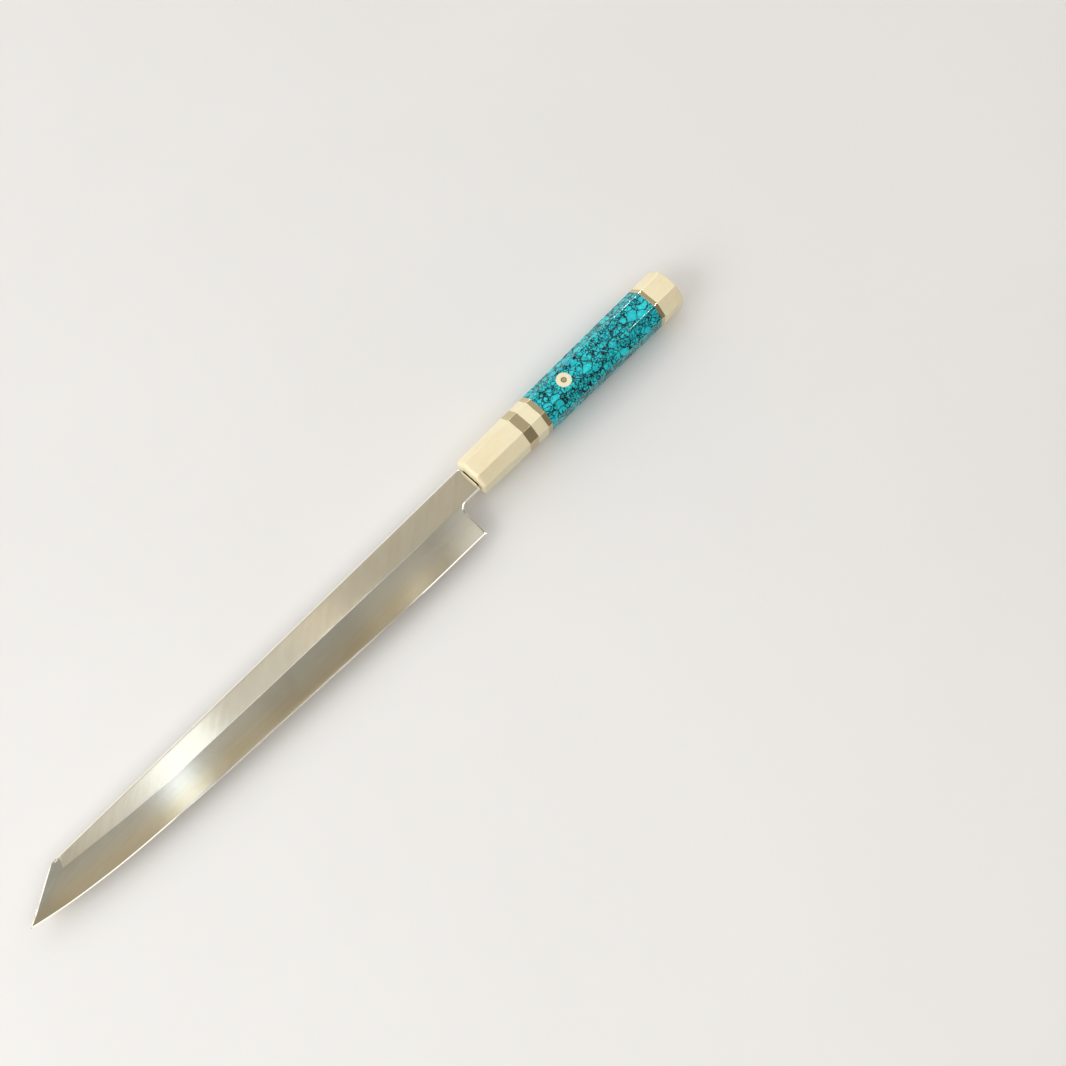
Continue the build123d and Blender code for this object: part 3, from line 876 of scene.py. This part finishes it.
# %% [markdown]
# ### Tang, and the two metals
# The tang runs on from the neck into the dowel, with a hole for the pin. The forging is two metals
# welded together: soft iron with a layer of hard steel on the back, which comes out at the edge.
# As in the CAD model, one cutting shape parts them, so both meet without a gap. The rim of the
# weld is kept sharp in the shading, or a dark line would run along it.

# %% Tang and the two metals
TANG_END, TANG_ROOT = FERRULE_X + 105.0, SHOULDER_X - 2
ROOT_HALF, END_HALF = 5.5, 3.25           # half the tang's height
TANG_HALF, TANG_THINS = 1.8, 0.4          # half its thickness at the shoulder, and what it loses
HOLE_RADIUS, HOLE_STEPS = 1.7, 32
LAYER_START, LAYER_END = TIP_X - 2, SHOULDER_X - 6
LAYER_THIN, LAYER_THICK = 0.9, 1.35       # the hard layer above the back, at the point and the heel


def prism(name, outline_xy, heights):
    """A closed block: an outline in plan, with low and high Z given for each corner."""
    count = len(outline_xy)
    places = [
        (x * MM, y * MM, z[end] * MM) for end in (0, 1) for (x, y), z in zip(outline_xy, heights)]
    walls = [(i, (i + 1) % count, (i + 1) % count + count, i + count) for i in range(count)]
    lids = [tuple(reversed(range(count))), tuple(range(count, 2 * count))]
    piece = new_object(name)
    piece.data.from_pydata(places, [], lids + walls)
    return piece


def combined(piece, other, operation, name):
    """A boolean of two closed pieces, baked into a new object."""
    result = new_object(name, piece.data.copy())
    cut = result.modifiers.new("cut", "BOOLEAN")
    cut.operation, cut.solver, cut.object = operation, "EXACT", other
    return baked(result)


def tang_half(x):
    """Half the tang's thickness at a station."""
    return TANG_HALF - TANG_THINS * (x - SHOULDER_X) / (TANG_END - SHOULDER_X)


tang_outline = [
    (TANG_ROOT, AXIS_Y - ROOT_HALF),
    *[(TANG_END + END_HALF * sin(t), AXIS_Y - END_HALF * cos(t)) for t in np.linspace(0, pi, 13)],
    (TANG_ROOT, AXIS_Y + ROOT_HALF)]
tang = prism("tang", tang_outline, [
    (AXIS_Z - tang_half(x), AXIS_Z + tang_half(x)) for x, _ in tang_outline])
pin_hole = prism("pin hole", [
    (PIN_X + HOLE_RADIUS * cos(t), AXIS_Y + HOLE_RADIUS * sin(t))
    for t in np.arange(0, 2 * pi, 2 * pi / HOLE_STEPS)], [(AXIS_Z - 5, AXIS_Z + 5)] * HOLE_STEPS)
layer_tops = (LAYER_THIN, LAYER_THICK, LAYER_THICK, LAYER_THIN)
layer = prism(
    "layer", [(LAYER_START, -30), (LAYER_END, -30), (LAYER_END, 30), (LAYER_START, 30)],
    [(BACK_Z - 3, BACK_Z + top) for top in layer_tops])


def crisp_weld(mesh):
    """Mark the rim of the weld sharp, so that the bevel is shaded as one face over both metals."""
    shape = bmesh.new()
    shape.from_mesh(mesh)
    on_weld = {}
    for face in shape.faces:
        middle = face.calc_center_median() / MM
        share = (middle.x - LAYER_START) / (LAYER_END - LAYER_START)
        weld_away = abs(middle.z - BACK_Z - mix(LAYER_THIN, LAYER_THICK, share))
        on_weld[face] = abs(face.normal.z) > 0.9999 and weld_away < 0.005
    rims = [edge for edge in shape.edges if len({on_weld[face] for face in edge.link_faces}) == 2]
    for edge in rims:
        edge.smooth = False
    shape.to_mesh(mesh)
    shape.free()
    print("edges round the weld:", len(rims))


drilled_tang = combined(tang, pin_hole, "DIFFERENCE", "drilled tang")
whole = combined(forging, drilled_tang, "UNION", "whole")
steel = combined(whole, layer, "INTERSECT", "steel_edge_layer")
iron = combined(whole, layer, "DIFFERENCE", "iron_blade")
crisp_weld(steel.data)
crisp_weld(iron.data)
for helper in (tang, pin_hole, layer, drilled_tang, whole, forging):
    bpy.data.objects.remove(helper)


# %% [markdown]
# ### Maps for the grind
# The grind follows the blade, not the room: its haze and its lines run along the bevel. So both
# metals get a UV map named blade, whose U is the way along the blade and whose V is the way across
# it: 0 at the spine, 1 at the ridge and 2 at the edge. A second map, for the facet and the painted
# highlight, holds in U whether a face is the facet or the chamfer at the point, and in V how near it
# is to the spine and the notch under the neck, whose rounded edges the ground metal paints with a
# highlight. The chamfer counts as near, and gets the painted highlight too.

# %% Blade maps
HIGHLIGHT_REACH = 1.1          # mm from the outline at which the painted highlight of the edges ends
FACING = 0.3              # of a normal's Z, from which a face counts as the front or the back
BACK_ACROSS = 0.4         # V of the chamfer in the second map: the strength of its painted highlight
CHAMFER_HIGHLIGHT = 0.7        # V of the chamfer in the map wear


def read(items, name, width=1, kind=float):
    """One value of each vertex, loop or face."""
    values = np.empty(len(items) * width, kind)
    items.foreach_get(name, values)
    return values.reshape(-1, width) if width > 1 else values


for piece, node, finish in ((iron, "blade_body", "ground iron"),
                            (steel, "cutting_steel", "ground steel")):
    mesh = piece.data
    spots, loops = read(mesh.vertices, "co", 3) / MM, read(mesh.loops, "vertex_index", kind=int)
    sides = read(mesh.polygons, "loop_total", kind=int)
    middle_x, middle_y, _ = np.repeat(read(mesh.polygons, "center", 3) / MM, sides, axis=0).T
    facing = np.repeat(read(mesh.polygons, "normal", 3), sides, axis=0)[:, 2]

    x, y = spots[:, 0], spots[:, 1]
    held = np.clip(x, TIP_X, HEEL_X + 8)
    ridge, edge = ridge_line(held), edge_line(held)
    above = (SPINE_Y - y) / np.maximum(SPINE_Y - ridge, 0.5)
    across = np.where(y > ridge, above, 1 + (ridge - y) / np.maximum(ridge - edge, 0.5))

    facet, chamfer, bevel = (
        height(middle_x, middle_y) for height in (facet_height, chamfer_height, bevel_height))
    at_point = (facing > FACING) & (middle_x < CLIP_X + 8)
    is_facet = at_point & (facet < np.minimum(bevel, flat_height(middle_x))) & (facet < chamfer)
    is_chamfer = at_point & (chamfer <= np.minimum(facet, bevel))
    # the painted highlight along the spine and the notch: full at the outline, fading out a little
    # inside it
    away = np.minimum(*(distance_to(line, spots[:, :2]) for line in (spine_side, notch_side)))
    near_edge = np.clip(1 - away / HIGHLIGHT_REACH, 0, 1)
    maps = {"blade": np.column_stack(((x - TIP_X) / BLADE_LENGTH, across))[loops],
            "wear": np.column_stack((
                is_facet | is_chamfer, np.where(is_chamfer, CHAMFER_HIGHLIGHT, near_edge[loops])))}
    maps["blade"][facing < -FACING, 1] = BACK_ACROSS
    for name, values in maps.items():
        mesh.uv_layers.new(name=name).data.foreach_set("uv", values.ravel())
    mesh.materials.clear()
    mesh.materials.append(FINISHES[finish])
    stands_for(piece, node)


# %% [markdown]
# ## Finishes: shared effects
# Three effects come back in several finishes, so each is a shader node group with its own inputs:
# fine lines drawn in one direction, soft clouds, and the faint marks of handling. A group puts out
# only values, and the shader itself stays in each material.

# %% Shared groups
def noise(vector, scale, detail=2.0, rough=0.5, warp=0.0, output="Fac"):
    """A noise texture's value, or its colour."""
    return out(add(vector.tree, "ShaderNodeTexNoise", {
        "Vector": vector, "Scale": scale, "Detail": detail, "Roughness": rough,
        "Distortion": warp}), output)


def voronoi(vector, scale, feature, output):
    """An output of a Voronoi texture."""
    return out(add(vector.tree, "ShaderNodeTexVoronoi", {
        "Vector": vector, "Scale": scale, "Randomness": 1.0}, feature=feature), output)


def spread(value, low, high):
    """A value stretched from low..high to 0..1, with soft ends."""
    plugs = {"Value": value, "From Min": low, "From Max": high}
    return out(add(
        value.tree, "ShaderNodeMapRange", plugs, interpolation_type="SMOOTHSTEP"), "Result")


def mapped(vector, **plugs):
    """Coordinates turned or stretched."""
    return out(add(vector.tree, "ShaderNodeMapping", {"Vector": vector, **plugs}))


drawn_lines, given = new_tree("Shader", "drawn lines", {
    "Vector": "Vector", "Stretch": (1.0, 1.0, 1.0), "Lines per Metre": 4000.0}, "Lines")
stretched, density = mapped(given["Vector"], Scale=given["Stretch"]), given["Lines per Metre"]
fine, coarse = noise(stretched, density, 3.0, 0.6), noise(stretched, density / 5)
send(spread(fine * 0.65 + coarse * 0.35, 0.3, 0.7))

clouds, given = new_tree("Shader", "soft clouds", {
    "Vector": "Vector", "Size": 0.01, "Low": 0.35, "High": 0.65}, "Clouds")
cloud = noise(given["Vector"], calc(clouds, "DIVIDE", 1.0, given["Size"]), 4.0, 0.55, 0.6)
send(spread(cloud, given["Low"], given["High"]))

handling, given = new_tree("Shader", "handling marks", {
    "Vector": "Vector", "Density": 300.0}, "Marks")
smear = spread(noise(given["Vector"], given["Density"] / 4, 3.0, 0.6, 1.5), 0.45, 0.8)
hair = voronoi(given["Vector"], given["Density"], "DISTANCE_TO_EDGE", "Distance")
send((smear * 0.6 + (1 - spread(hair, 0.0, 0.03)) * 0.25).clamped())
print("shared groups:", drawn_lines.name, clouds.name, handling.name)

# %% [markdown]
# Helpers for the materials: `use` places a group, `tint` mixes two colours by a mask, `layered`
# lays colours over one another, and `finish` connects the Principled shader. Values that are the
# same all over are written on its own sockets.

# %% Material helpers
def use(group, vector, **values):
    """Place a shared group and return its only output."""
    plugs = {name.replace("_", " "): value for name, value in values.items()}
    return out(add(vector.tree, "ShaderNodeGroup", {"Vector": vector, **plugs}, node_tree=group))


def tint(mask, low, high):
    """Mix two colours, each a colour or a wire, by a mask."""
    low, high = (value if isinstance(value, Wire) else (*value, 1.0) for value in (low, high))
    return out(add(mask.tree, "ShaderNodeMix", {0: mask, 6: low, 7: high}, data_type="RGBA"), 2)


def layered(color, *layers):
    """A colour with others laid over it, each by its own mask."""
    for mask, over in layers:
        color = tint(mask, color, over)
    return color


def start(name):
    """The tree of a finish and its Object coordinates."""
    tree = FINISHES[name].node_tree
    tree.nodes.clear()
    return tree, out(add(tree, "ShaderNodeTexCoord"), "Object")


def bump(height, strength, distance):
    """A normal that follows a height, in metres."""
    return out(add(height.tree, "ShaderNodeBump", {
        "Strength": strength, "Distance": distance, "Height": height}), "Normal")


def finish(tree, plugs, **settings):
    """The shader and the material's output."""
    shader = add(tree, "ShaderNodeBsdfPrincipled", plugs)
    for name, value in settings.items():
        shader.inputs[name.replace("_", " ")].default_value = value
    add(tree, "ShaderNodeOutputMaterial", {"Surface": out(shader)})


# %% [markdown]
# ## Ivory
# The pale sections are polished bone or ivory: a warm cream that is never quite even, with faint
# yellower streaks along the piece and soft clouds. The polish is a clear coat over a softer base.

# %% Ivory
tree, here = start("polished ivory")
streaks = use(drawn_lines, here, Stretch=(0.1, 1.0, 1.0), Lines_per_Metre=700.0)
mottle = use(clouds, here, Size=0.0022, Low=0.35, High=0.7)
broad = use(clouds, here, Size=0.02, Low=0.3, High=0.7)
cream = layered((0.885, 0.80, 0.545), (broad, (0.855, 0.745, 0.47)),
                (mottle * 0.4, (0.91, 0.84, 0.64)), (streaks * 0.1, (0.72, 0.56, 0.32)))
marks = use(handling, here, Density=350.0)
finish(tree, {
    "Base Color": cream, "Roughness": 0.32 + marks * 0.12,
    "Normal": bump(streaks, 0.04, 0.0001)},
    Coat_Weight=0.4, Coat_Roughness=0.1, Subsurface_Weight=0.08, Subsurface_Scale=0.004)


# %% [markdown]
# ## Nickel silver
# The rings and the pin are polished, slightly yellow metal. They were finished by drawing them
# along abrasive paper, across the knife, so very fine lines run round the handle. The pin's end is
# a little warmer, and darkens towards its rim.

# %% Nickel silver
DARK_RIM = 0.0010, 0.0014         # metres from the pin's axis over which its end darkens

for name, bright, dull in (("nickel silver", (0.76, 0.65, 0.40), (0.60, 0.50, 0.29)),
                           ("pin metal", (0.84, 0.70, 0.42), (0.62, 0.50, 0.28))):
    tree, here = start(name)
    around = use(drawn_lines, here, Stretch=(1.0, 0.04, 0.04), Lines_per_Metre=2600.0)
    marks = use(handling, here, Density=500.0)
    silver = layered(bright, (around * 0.5, dull), (marks * 0.5, dull))
    if name == "pin metal":
        x, y, _ = split(here)
        x_away, y_away = x - PIN_X * MM, y - AXIS_Y * MM
        radius = (x_away * x_away + y_away * y_away).math("SQRT")
        silver = tint(spread(radius, *DARK_RIM), silver, (0.30, 0.24, 0.13))
    finish(tree, {
        "Base Color": silver, "Roughness": 0.12 + around * 0.05 + marks * 0.1,
        "Normal": bump(around, 0.05, 0.00005)}, Metallic=1.0)


# %% [markdown]
# ## Turquoise
# Spider-web turquoise: pale to deep blue-green pebbles, one to four millimetres across, in a web
# of near-black matrix, with a few larger calm patches. A Voronoi texture has just this structure.
# Clouds choose between three sizes of cell: large ones everywhere, middle ones outside the calm
# patches, and small ones where the stone is crowded. The coordinates are bent so that no vein is
# straight, and stretched along the knife. It is solid, so the pattern carries on over the
# octagon's edges.

# %% Turquoise
PEBBLES = {"large": 210.0, "middle": 400.0, "small": 760.0}      # pebbles per metre
VEIN_HALF = {"large": 0.00020, "middle": 0.00016, "small": 0.00012}   # half a vein's width, metres


def bent(vector, scale, amount):
    """Coordinates pushed about by noise, so that lines drawn with them wander."""
    push, tree = noise(vector, scale, output="Color"), vector.tree
    centred = add(tree, "ShaderNodeVectorMath", {0: push, 1: (0.5,) * 3}, operation="SUBTRACT")
    return out(add(tree, "ShaderNodeVectorMath", {
        0: out(centred), 1: (amount,) * 3, 2: vector}, operation="MULTIPLY_ADD"))


tree, here = start("turquoise")
wander = mapped(bent(bent(here, 170.0, 0.0035), 800.0, 0.0013), Scale=(0.80, 1.0, 1.0))
swell = 0.55 + noise(here, 420.0, 2.0) * 0.9
calm = spread(noise(here, 88.0, 1.0), 0.57, 0.61)
crowded = spread(noise(here, 140.0, 2.0), 0.50, 0.56)
veins, shades, centres = {}, {}, {}
for size, per_metre in PEBBLES.items():
    to_edge = voronoi(wander, per_metre, "DISTANCE_TO_EDGE", "Distance") / per_metre
    narrow = to_edge / (swell * VEIN_HALF[size])
    veins[size] = 1 - spread(narrow, 0.45, 1.6)
    centres[size] = spread(narrow, 1.5, 7.0)
    color = voronoi(wander, per_metre, "F1", "Color")
    shades[size] = out(add(tree, "ShaderNodeSeparateColor", {"Color": color}), "Red")
busy = 1 - calm
web = veins["large"].math("MAXIMUM", veins["middle"] * ((1 - crowded) * busy))
web = web.math("MAXIMUM", veins["small"] * crowded * busy)
shade = shades["large"] * 0.35 + shades["middle"] * 0.35 + shades["small"] * crowded * 0.3
pale = use(clouds, here, Size=0.0016, Low=0.5, High=0.8)
stone = layered(
    (0.004, 0.42, 0.52), (shade, (0.02, 0.75, 0.77)),
    (centres["middle"] * centres["large"] * 0.4, (0.05, 0.88, 0.85)),
    (pale * 0.35, (0.20, 0.82, 0.76)), (web, (0.001, 0.010, 0.014)))
finish(tree, {
    "Base Color": stone, "Roughness": 0.30 + web * 0.25, "Normal": bump(1 - web, 0.3, 0.00006)},
    Specular_IOR_Level=0.05, Coat_Weight=0.7, Coat_Roughness=0.03)


# %% [markdown]
# ## Ground metal
# The flat is satin, with fine lines along the blade and faint diagonal clouds from the last
# polish. The bevel is hazier and greyer towards the ridge, where the soft iron is, and turns
# warmer and brighter towards the edge, partly the hard steel's own tone and partly a painted warm
# reflection. Thin painted highlights lie on the ridge, the honed bevel, the chamfer and the eased
# edges of the spine and neck, and the tang behind the shoulder is painted dark as shade in the gap
# before the ferrule. Both metals use one recipe over the blade's map, so the weld is a soft change
# of tone and not a seam.

# %% Ground metal
SLANT = radians(38)               # of the last polish on the flat, from the blade's length
GAP_SHADE_X = 0.0780, 0.0782           # metres: behind this the tang is painted near-black, a painted shade for the gap before the ferrule

for name in ("ground iron", "ground steel"):
    tree, here = start(name)
    along, across, _ = split(out(add(tree, "ShaderNodeUVMap", uv_map="blade")))
    # the second map: U marks the facet and the chamfer, V the strength of the painted edge highlight
    facet, near_edge, _ = split(out(add(tree, "ShaderNodeUVMap", uv_map="wear")))
    slanted = use(drawn_lines, mapped(here, Rotation=(0, 0, -SLANT)), Stretch=(0.12, 1.0, 1.0),
                  Lines_per_Metre=420.0)
    long_lines = use(drawn_lines, here, Stretch=(0.03, 1.0, 1.0), Lines_per_Metre=1800.0)
    haze = use(clouds, here, Size=0.02, Low=0.35, High=0.7)
    on_flat = (1 - spread(across, 0.99, 1.01)) * (1 - facet)
    on_bevel = 1 - on_flat
    wavy = across + (noise(here, 55.0, 3.0) - 0.5) * 0.16
    # the warm tone towards the edge: partly the hard steel's own colour, partly a painted warm
    # reflection
    steel_tone_and_reflection = spread(wavy, 1.2, 1.8) * (1 - spread(along, 0.86, 0.97) * 0.7) * (1 - facet)
    # painted highlights: thin bright lines on the honed bevel and the ridge, and along the spine, the
    # neck and the chamfer
    honed = spread(across, 1.965, 1.975)
    ridge_away = (across - 1.0).math("ABSOLUTE")
    ridge_run = spread(along, 0.16, 0.3) * (1 - spread(along, 0.86, 0.96)) * (1 - facet)
    ridge_highlight = (1 - spread(ridge_away, 0.006, 0.022)) * ridge_run
    painted_highlight = ridge_highlight.math("MAXIMUM", spread(near_edge, 0.45, 0.8)).math("MAXIMUM", honed * 0.6)
    # painted shade: the tang behind the shoulder is near-black and rough, where the gap in front of
    # the ferrule lies in shade
    painted_gap_shade = spread(split(here)[0], *GAP_SHADE_X)
    metal = layered(
        (0.74, 0.665, 0.50), (on_bevel, (0.60, 0.555, 0.43)), (facet, (0.44, 0.44, 0.36)),
        (steel_tone_and_reflection * on_bevel, (0.655, 0.545, 0.335)), (haze * 0.3, (0.70, 0.64, 0.50)),
        (slanted * on_flat * 0.35, (0.88, 0.80, 0.63)),
        (long_lines * on_bevel * 0.12, (0.82, 0.80, 0.74)), (painted_highlight, (0.96, 0.95, 0.91)),
        (painted_gap_shade, (0.030, 0.026, 0.022)))
    rough = 0.125 + haze * 0.02 + slanted * on_flat * 0.02 - painted_highlight * 0.03 + painted_gap_shade * 0.4
    scratches = long_lines * on_bevel + slanted * on_flat
    finish(tree, {
        "Base Color": metal, "Roughness": rough, "Normal": bump(scratches, 0.03, 0.00005),
        "Tangent": out(add(tree, "ShaderNodeTangent", direction_type="UV_MAP", uv_map="blade"))},
        Metallic=1.0, Anisotropic=0.7, Anisotropic_Rotation=0.25)


# %% [markdown]
# ## Wood
# The dowel is hidden inside the handle, a plain turned wood. It keeps the CAD node's own mesh.

# %% Wood
tree, here = start("turned wood")
grain = use(drawn_lines, here, Stretch=(0.05, 1.0, 1.0), Lines_per_Metre=1800.0)
rings = spread(noise(here, 220.0, warp=2.0), 0.35, 0.65)
wood = layered((0.55, 0.38, 0.20), (rings, (0.68, 0.50, 0.29)), (grain * 0.4, (0.36, 0.22, 0.11)))
finish(tree, {
    "Base Color": wood, "Roughness": 0.55 + grain * 0.15, "Normal": bump(grain, 0.2, 0.0001)})
dowel = nodes["core_dowel"].data
dowel.materials.clear()
dowel.materials.append(FINISHES["turned wood"])

# %% [markdown]
# ## Floor
# Plain pale paper, wide enough to fill every view. Its tone is its own colour and not extra light.

# %% Floor
FLOOR_HALF = 12.0         # metres
floor = new_object("floor")
floor.data.from_pydata(
    [(x * FLOOR_HALF, y * FLOOR_HALF, 0) for x, y in ((-1, -1), (1, -1), (1, 1), (-1, 1))], [],
    [(0, 1, 2, 3)])
floor.data.materials.append(FINISHES["floor paper"])
tree, here = start("floor paper")
fibres = use(clouds, here, Size=0.3, Low=0.3, High=0.7)
paper = tint(fibres, (0.77, 0.765, 0.75), (0.79, 0.785, 0.77))
finish(tree, {"Base Color": paper}, Roughness=0.9)

# %% [markdown]
# ## Light
# Polished metal shows the room, so the room is part of the look. The sky is a plain gradient,
# brighter overhead. Four large softboxes stand round the knife. Panels in one plane overhead hang
# where each stretch of the blade looks, and give its bright band and its glows their place and
# colour. Two spots hang a little lower, because of two lamps in one plane a mirror shows only one.
# Two narrow glint boxes put fine lines of light on the octagon's edges.

# %% Light
SKY, COOL = (0.68, 0.80, 1.0), (0.80, 0.87, 1.0)
NEUTRAL, WARM = (1.0, 1.0, 1.0), (1.0, 0.93, 0.82)
# softboxes: place, target, size and radiance
BOXES = {
    "wall of light behind the spine": ((-0.4, 1.35, 1.1), (0, 0, 0), (3.0, 1.2), 0.80),
    "key box beyond the point": ((-1.5, 0.1, 1.05), (0, 0, 0), (1.3, 1.0), 3.3),
    "box in front of the edge": ((0.0, -0.80, 1.12), (0, 0, 0), (2.1, 0.65), 0.95),
    "box beyond the butt": ((1.5, 0.5, 0.6), (0.15, 0, 0), (0.8, 0.6), 1.6),
}
# panels that face straight down: middle and size along X and Y, radiance and colour
PANEL_HEIGHT, SPOT_DROP = 1.5, 0.01
PANELS = {
    "window over the flat": ((-0.155, 0.50), (0.122, 0.30), 1.32, SKY),
    "narrow window over the bevel": ((-0.193, 0.02), (0.05, 0.42), 1.95, SKY),
    "shoulder of the window": ((-0.19, 0.46), (0.20, 0.38), 0.30, SKY),
    "wide glow": ((-0.13, 0.50), (0.42, 0.34), 0.19, SKY),
    "second glow": ((0.09, 0.52), (0.13, 0.30), 0.24, WARM),
    "glow over the bevel": ((-0.25, 0.03), (0.44, 0.30), 0.12, WARM),
    "strip above the ridge": ((0.04, 0.33), (0.34, 0.04), 2.0, NEUTRAL),
    "glow above the heel": ((0.41, -0.20), (0.15, 0.50), 0.30, COOL),
    "strip above the heel": ((0.22, -0.10), (0.12, 0.34), 0.13, NEUTRAL),
}
SPOTS = {
    "low glow above the heel": ((0.40, -0.20), (0.11, 0.09), 0.60, COOL),
    "spot above the heel": ((0.257, -0.15), (0.04, 0.09), 0.85, COOL),
}
# glint boxes: place, and degrees of turn about the way they shine
GLINTS = {
    "left glint box": ((0.649, 0.855, 0.756), 17.3),
    "right glint box": ((0.648, -0.501, 1.019), -35.6),
}
GLINT_TARGET, GLINT_SIZE, GLINT_RADIANCE = (0.211, 0.007, 0.02), (0.045, 0.5), 60.0
# strength of the room's own light: all round, what it gains overhead, and behind the spine
ROOM_HORIZON, ROOM_RISE, ROOM_WINDOW = 0.21, 0.19, 0.46


def softbox(name, place, target, size, radiance, turn=0.0, color=NEUTRAL):
    """An area lamp given by how bright its surface looks, with its turn in degrees."""
    lamp = bpy.data.lights.new(name, "AREA")
    lamp.shape = "RECTANGLE"
    lamp.size, lamp.size_y = size
    lamp.energy, lamp.color = radiance * 4 * size[0] * size[1], color
    holder = new_object(name, lamp)
    point_at(holder, place, target, radians(turn))
    return holder


for name, box in BOXES.items():
    softbox(name, *box)
for height, panels in ((PANEL_HEIGHT, PANELS), (PANEL_HEIGHT - SPOT_DROP, SPOTS)):
    for name, ((x, y), size, radiance, color) in panels.items():
        softbox(name, (x, y, height), (x, y, 0), size, radiance, color=color)
for name, (place, turn) in GLINTS.items():
    glint = softbox(name, place, GLINT_TARGET, GLINT_SIZE, GLINT_RADIANCE, turn)
    glint.visible_diffuse = False

scene.world = bpy.data.worlds.new("room")
scene.world.use_nodes = True
tree = scene.world.node_tree
tree.nodes.clear()
_, spineward, upward = split(out(add(tree, "ShaderNodeTexCoord"), "Generated"))
upward = upward.clamped()
strength = ROOM_HORIZON + upward * ROOM_RISE + spineward.clamped() * ROOM_WINDOW
warmth = tint(upward, (1.0, 0.88, 0.76), (1.0, 0.985, 0.95))
seen = out(add(tree, "ShaderNodeLightPath"), "Is Camera Ray")
glow = add(tree, "ShaderNodeBackground", {
    "Color": tint(seen, warmth, (0.80, 0.79, 0.77)), "Strength": mix(strength, 1.0, seen)})
add(tree, "ShaderNodeOutputWorld", {"Surface": out(glow)})
print("lamps:", len(BOXES) + len(PANELS) + len(SPOTS) + len(GLINTS))
